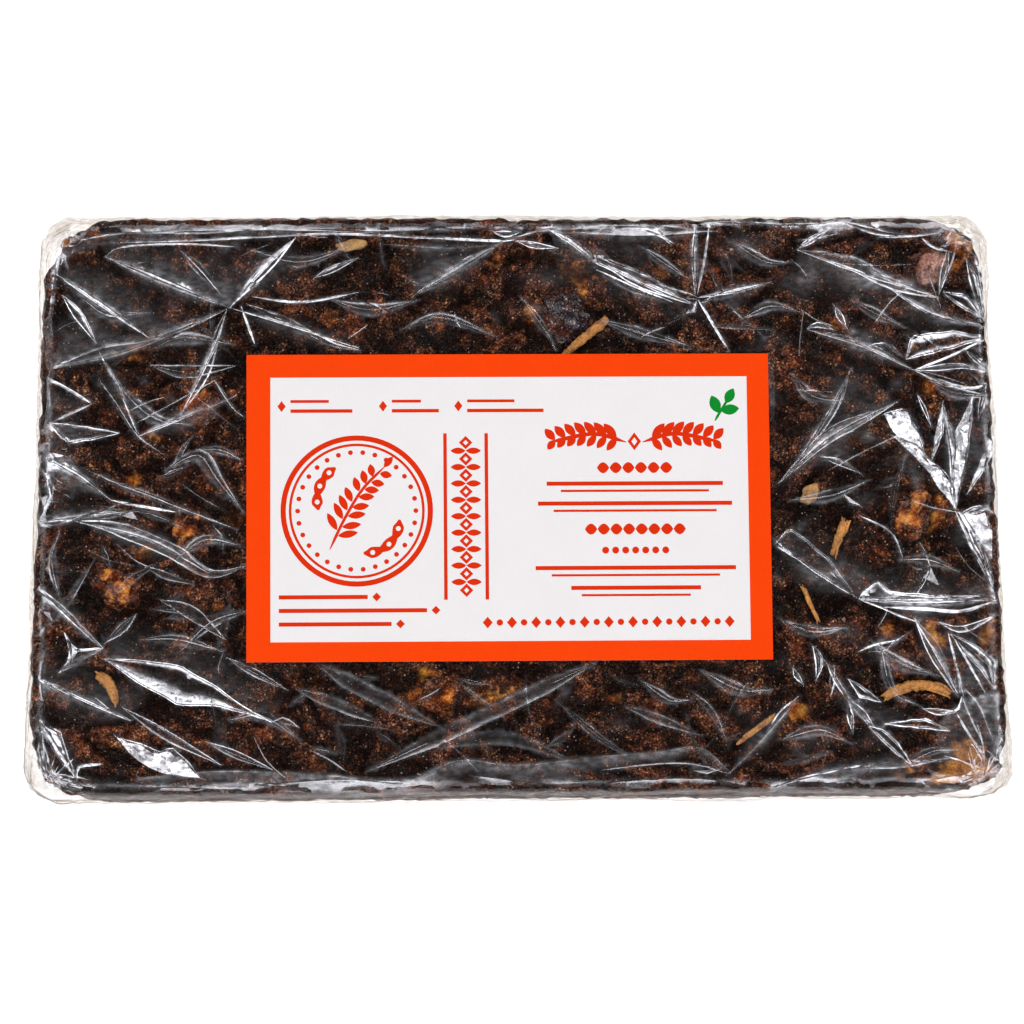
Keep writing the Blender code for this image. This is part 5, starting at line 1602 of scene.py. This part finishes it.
def draw_label():
    d = Print()
    hx, hy = LABEL_LONG / 2, LABEL_HIGH / 2
    d.box(-hx, -hy, hx, hy, BORDER)
    d.box(-hx + 4.05, -hy + 3.35, hx - 3.75, hy - 3.95, PAPER)
    # round medallion with a leaf spray and two curved pods
    mx, my = -25.8, -0.6
    d.ring(mx, my, 12.9, 0.9, INK)
    d.ring(mx, my, 11.5, 0.45, INK)
    for k in range(30):
        a = 2 * math.pi * k / 30
        d.disc(mx + 10.0 * math.cos(a), my + 10.0 * math.sin(a), 0.42, INK, 12)
    stem = smooth_line([(mx - 4.6, my - 6.6), (mx - 2.2, my - 1.6), (mx + 0.6, my + 3.2), (mx + 4.8, my + 7.6)], 0.4)
    d.stroke([tuple(stem[0]), tuple(stem[len(stem) // 3]), tuple(stem[2 * len(stem) // 3]), tuple(stem[-1])], 0.5, INK, 0.3)
    last = len(stem) - 1
    for k in range(15):
        i = int(round((0.15 + 0.053 * k) * last))
        ahead = stem[min(i + 1, last)] - stem[i - 1]
        turn = math.atan2(ahead[1], ahead[0]) + math.radians(55 if k % 2 else -55)
        d.leaf(stem[i][0] + 0.3 * math.cos(turn), stem[i][1] + 0.3 * math.sin(turn), 3.5 - 0.10 * k, 1.25, math.degrees(turn), INK)
    d.leaf(stem[-1][0] - 0.2, stem[-1][1] - 0.2, 2.4, 1.1, 50, INK)
    for side_x, start, sweep in ((2.6, 205, 120), (-5.0, 150, 95)):
        cx, cy = (mx + 1.6, my - 1.6) if side_x > 0 else (mx - 0.4, my + 1.9)
        r = 5.6 if side_x > 0 else 6.3
        base = 265 if side_x > 0 else 120
        outer, inner = [], []
        for j in range(25):
            t = j / 24
            a = math.radians(base + (sweep * 0.8) * t)
            fat = 0.95 * (0.55 + 0.45 * abs(math.sin(math.pi * 3 * t))) * min(1, 5 * t + 0.35, 5 * (1 - t) + 0.35)
            outer.append((cx + (r + fat) * math.cos(a), cy + (r + fat) * math.sin(a)))
            inner.append((cx + (r - fat) * math.cos(a), cy + (r - fat) * math.sin(a)))
        d.poly(outer + inner[::-1], INK)
        for j in (4, 12, 20):
            a = math.radians(base + (sweep * 0.8) * j / 24)
            d.disc(cx + r * math.cos(a), cy + r * math.sin(a), 0.42, PAPER, 14)
    # ruled fields along the top, each led by a small diamond
    for x, w in ((-39.2, 10.5), (-22.0, 8.0), (-9.2, 13.0)):
        d.diamond(x + 0.7, 17.3, 1.4, 1.9, INK)
        d.box(x + 2.2, 16.2, x + 2.2 + w, 16.8, INK)
        d.box(x + 2.2, 17.9, x + 2.2 + w * 0.62, 18.4, INK)
    # three ruled lines below the medallion
    for k, w in enumerate((15.0, 25.0, 19.0)):
        y = -15.6 - 2.3 * k
        d.box(-39.0, y, -39.0 + w, y + 0.7, INK)
        d.diamond(-39.0 + w + 1.5, y + 0.35, 1.5, 1.5, INK)
    # an upright chain between two rules
    d.box(-11.1, -15.8, -10.5, 12.6, INK)
    d.box(-4.1, -15.8, -3.5, 12.6, INK)
    for k in range(10):
        y = 11.0 - 2.8 * k
        d.diamond(-7.3, y, 2.3, 2.3, INK)
        d.diamond(-7.3, y, 0.9, 0.9, PAPER)
        if k < 9:
            d.leaf(-7.3, y - 1.4, 2.6, 1.1, 0, INK)
            d.leaf(-7.3, y - 1.4, 2.6, 1.1, 180, INK)
    # right block: a spray of leaves over rows of beads and rules
    rx = 21.4
    for s in (1, -1):
        d.stroke([(rx + s * 1.4, 11.0), (rx + s * 7, 12.4), (rx + s * 14.5, 11.0)], 0.7, INK, 0.2)
        for k in range(7):
            x = rx + s * (3.0 + 1.75 * k)
            y = 11.0 + 1.25 * math.sin(math.pi * (3.0 + 1.75 * k) / 15)
            d.leaf(x, y, 3.3 - 0.12 * k, 1.45, 90 - s * 42, INK)
            d.leaf(x, y, 2.8 - 0.12 * k, 1.3, -90 + s * 38, INK)
    d.diamond(rx, 11.1, 2.3, 3.1, INK)
    d.diamond(rx, 11.1, 1.0, 1.4, PAPER)
    rows = ((6.6, 15.0, "seed"), (3.2, 30.0, "rule"), (-0.2, 33.0, "rule"), (-3.9, 19.0, "seed"), (-7.5, 13.0, "bead"), (-11.2, 34.0, "rule"), (-14.6, 22.0, "rule"))
    for y, w, kind in rows:
        x = rx - w / 2
        if kind == "rule":
            d.box(x, y + 0.35, x + w, y + 1.05, INK)
            d.box(x + w * 0.08, y - 0.75, x + w * 0.92, y - 0.35, INK)
        else:
            step = 2.15 if kind == "seed" else 1.7
            n = int(w / step)
            for k in range(n):
                c = rx - (n - 1) * step / 2 + k * step
                if kind == "seed":
                    d.leaf(c - 1.05, y, 2.1, 1.9, 0, INK)
                else:
                    d.disc(c, y, 0.6, INK, 14)
    n = 21
    for k in range(n):
        c = -4.2 + 43.0 * (k + 0.5) / n - 0.6
        if k % 2:
            d.disc(c, -19.7, 0.55, INK, 14)
        else:
            d.diamond(c, -19.7, 1.7, 2.0, INK)
    # a green sprig in the corner
    d.stroke([(35.2, 14.6), (36.4, 16.6), (37.9, 18.9)], 0.45, GREEN, 0.4)
    d.leaf(35.9, 15.9, 3.3, 1.9, 112, GREEN)
    d.leaf(36.2, 16.3, 3.2, 1.8, 8, GREEN)
    d.leaf(37.1, 17.6, 2.9, 1.7, 62, GREEN)
    return d


def inside(poly, p):
    x, y = p[:, 0], p[:, 1]
    hit = np.zeros(len(p), bool)
    x0, y0 = poly[-1]
    for x1, y1 in poly:
        crosses = (y0 > y) != (y1 > y)
        if crosses.any():
            where = x0 + (y - y0) * (x1 - x0) / ((y1 - y0) if y1 != y0 else 1e-12)
            hit ^= crosses & (x < where)
        x0, y0 = x1, y1
    return hit


def build_label(finishes):
    drawing = draw_label()
    points, edges = [], []
    for poly, _ in drawing.shapes:
        base = len(points)
        n = len(poly)
        points += [tuple(q) for q in poly]
        edges += [(base + i, base + (i + 1) % n) for i in range(n)]
    hx, hy = LABEL_LONG / 2, LABEL_HIGH / 2
    for x in np.arange(-hx + 1.5, hx, 2.3):
        for y in np.arange(-hy + 1.5, hy, 2.3):
            points.append((x, y))
    made = delaunay_2d_cdt([Vector(q) for q in points], edges, [], 0, 1e-5, True)
    q = np.array([(v.x, v.y) for v in made[0]])
    faces = [tuple(f) for f in made[2]]
    centre = np.array([q[list(f)].mean(0) for f in faces])
    ink = np.zeros(len(faces), int)
    for poly, colour in drawing.shapes:
        lo, hi = poly.min(0) - 1e-6, poly.max(0) + 1e-6
        near = np.where(np.all((centre >= lo) & (centre <= hi), axis=1))[0]
        ink[near[inside(poly, centre[near])]] = colour
    edge_gap = np.minimum(hx - np.abs(q[:, 0]), hy - np.abs(q[:, 1]))
    p3 = np.column_stack([q / 18.0, np.zeros(len(q))])
    bow = 0.05 * perlin(p3, 301) - 0.07 * (1 - ease(edge_gap, 0, 3.0))
    top = np.column_stack([q + (LABEL_X, LABEL_Y), LABEL_TOP - 0.06 + bow])
    low = top - np.array([0, 0, 0.14])
    m = len(q)
    count = {}
    for f in faces:
        for i in range(3):
            a, b = f[i], f[(i + 1) % 3]
            count[(a, b)] = True
    rim = [(a, b) for (a, b) in count if (b, a) not in count]
    all_faces = list(faces) + [tuple(m + k for k in reversed(f)) for f in faces]
    all_faces += [(a, m + a, m + b, b) for a, b in rim]
    piece = make_mesh("label", np.vstack([top, low]), all_faces, smooth=False)
    for f in finishes:
        piece.data.materials.append(f)
    index = np.zeros(len(all_faces), np.int32)
    index[: len(faces)] = ink
    piece.data.polygons.foreach_set("material_index", index)
    piece.data.update()
    return piece


# ---------------------------------------------------------------- put together

pulp_finish = pulp_material()
film_finish = film_material()
amber_finish = pulp_material("amber_seed", ((0.045, 0.008, 0.003), (0.20, 0.040, 0.005), (0.60, 0.20, 0.022)), 0.7, 0.45)
pale_finish = pulp_material("pale_seed", ((0.075, 0.024, 0.016), (0.24, 0.095, 0.070), (0.48, 0.27, 0.225)), 0.5, 0.5, top_hue=(0.60, 0.40, 0.35))
dark_finish = pulp_material("dark_seed", ((0.004, 0.002, 0.003), (0.011, 0.008, 0.011), (0.070, 0.060, 0.075)), 1.0, 0.7, (0.34, 0.31, 0.36), ((0.05, 0.04, 0.05), (0.24, 0.21, 0.25), (0.62, 0.58, 0.64)))
fibre_finish = woody_material("fibre", (0.24, 0.070, 0.008), (0.78, 0.35, 0.070), 1900, rough=(0.16, 0.45), spec=0.6, bump_depth=0.0004)
shell_finish = woody_material("pod_shell", (0.20, 0.080, 0.018), (0.62, 0.35, 0.12), 1700, rough=(0.25, 0.55), spec=0.5, bump_depth=0.0004)
paper_finish = print_material("label_paper", (0.715, 0.690, 0.700), 0.55, 0.02)
border_finish = print_material("label_border", (0.790, 0.048, 0.0003), 0.5, 0.03)
ink_finish = print_material("label_ink", (0.620, 0.024, 0.0012), 0.5, 0.05)
green_finish = print_material("label_green", (0.002, 0.215, 0.020), 0.5, 0.05)

pulp = build_pulp(pulp_finish)
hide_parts("tamarind_block")

film = build_film(film_finish, lay_creases())
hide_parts("film_wrap")

label = build_label([paper_finish, border_finish, ink_finish, green_finish])
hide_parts("paper_label")

pieces = [pulp, film, label]

for k, (name, x, y, long, broad, high, turn, slot, top) in enumerate(SEEDS):
    finish = dark_finish if slot == "dark_seed" else pale_finish if name == "seed_right_corner" else amber_finish
    piece = seed_piece(name + "_look", [name], (x, y, top - high / 2), (long, broad, high), turn, finish, 0.24, k)
    pieces.append(piece)

for k, (name, path, thick) in enumerate(FIBRES):
    piece = fibre_piece(name + "_look", name, path, thick, 27.3 - thick * 0.36, fibre_finish, k)
    pieces.append(piece)

FLAKES = (
    ("shell_flake_right", (49.7, 1.0, 26.95), (4.0, 2.7, 0.8), 52),
    ("shell_flake_top", (-28.2, 44.4, 26.6), (5.4, 2.0, 0.7), 8),
)
for k, (name, centre, size, turn) in enumerate(FLAKES):
    piece = flake_piece(name + "_look", name, centre, size, turn, shell_finish, k)
    pieces.append(piece)

for piece in pieces:
    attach(piece, "root")

# -------------------------------------------------------------- floor and lights

floor_mesh = bpy.data.meshes.new("floor")
S = 3.0
floor_mesh.from_pydata([(-S, -S, -0.0002), (S, -S, -0.0002), (S, S, -0.0002), (-S, S, -0.0002)], [], [(0, 1, 2, 3)])
floor = bpy.data.objects.new("floor", floor_mesh)
bpy.context.scene.collection.objects.link(floor)
floor_finish, floor_tree = new_material("floor")
floor_shader = node(
    floor_tree, "ShaderNodeBsdfPrincipled",
    {"Base Color": (0.9, 0.9, 0.9, 1), "Roughness": 0.9, "Specular IOR Level": 0.1,
     "Emission Color": (1, 1, 1, 1), "Emission Strength": 0.55},
)
floor_out = node(floor_tree, "ShaderNodeOutputMaterial")
floor_tree.links.new(floor_shader.outputs[0], floor_out.inputs[0])
floor_mesh.materials.append(floor_finish)


world = bpy.data.worlds.new("studio")
bpy.context.scene.world = world
world.use_nodes = True
wt = world.node_tree
wt.nodes.clear()
direction = node(wt, "ShaderNodeTexCoord").outputs["Generated"]
up = node(wt, "ShaderNodeSeparateXYZ", {"Vector": direction}).outputs["Z"]
# dim overhead, a ring of lamps 33 to 57 degrees off straight up, a pale wall below them
lean = node(wt, "ShaderNodeVectorMath", {0: direction, 1: (0.0, math.sin(math.radians(8)), math.cos(math.radians(8)))}, operation="DOT_PRODUCT").outputs["Value"]
overhead = ramp(wt, lean, [(0.0, 0.14), (0.40, 0.14), (0.52, 0.10), (0.84, 0.55), (0.883, 0.30), (0.927, 0.09), (0.961, 0.022), (0.985, 0.006), (1.0, 0.004)])
band = ramp(wt, up, [(0.53, 0.0), (0.56, 1.0), (0.80, 1.0), (0.835, 0.6), (0.875, 0.18), (0.92, 0.0)])
panels = ramp(wt, noise_node(wt, direction, 2.6, 1.0, 0.4), [(0.38, 0.18), (0.50, 1.0)])
lamps = sums(wt, "MULTIPLY", sums(wt, "MULTIPLY", band, panels), 3.3)
background = node(wt, "ShaderNodeBackground", {"Color": sums(wt, "ADD", overhead, lamps), "Strength": 1.0})
world_out = node(wt, "ShaderNodeOutputWorld")
wt.links.new(background.outputs[0], world_out.inputs[0])

camera = bpy.data.cameras.new("camera")
camera.sensor_fit = "AUTO"
camera.sensor_width = 36.0
camera.lens = FOCAL / 1024 * 36.0
camera.clip_start, camera.clip_end = 0.05, 20
eye = bpy.data.objects.new("camera", camera)
matrix = np.eye(4)
matrix[:3, :3] = TURN
matrix[:3, 3] = EYE * MM
eye.matrix_world = Matrix(matrix.tolist())
bpy.context.scene.collection.objects.link(eye)
bpy.context.scene.camera = eye

bpy.context.scene.view_settings.view_transform = "Standard"
bpy.context.scene.view_settings.look = "None"
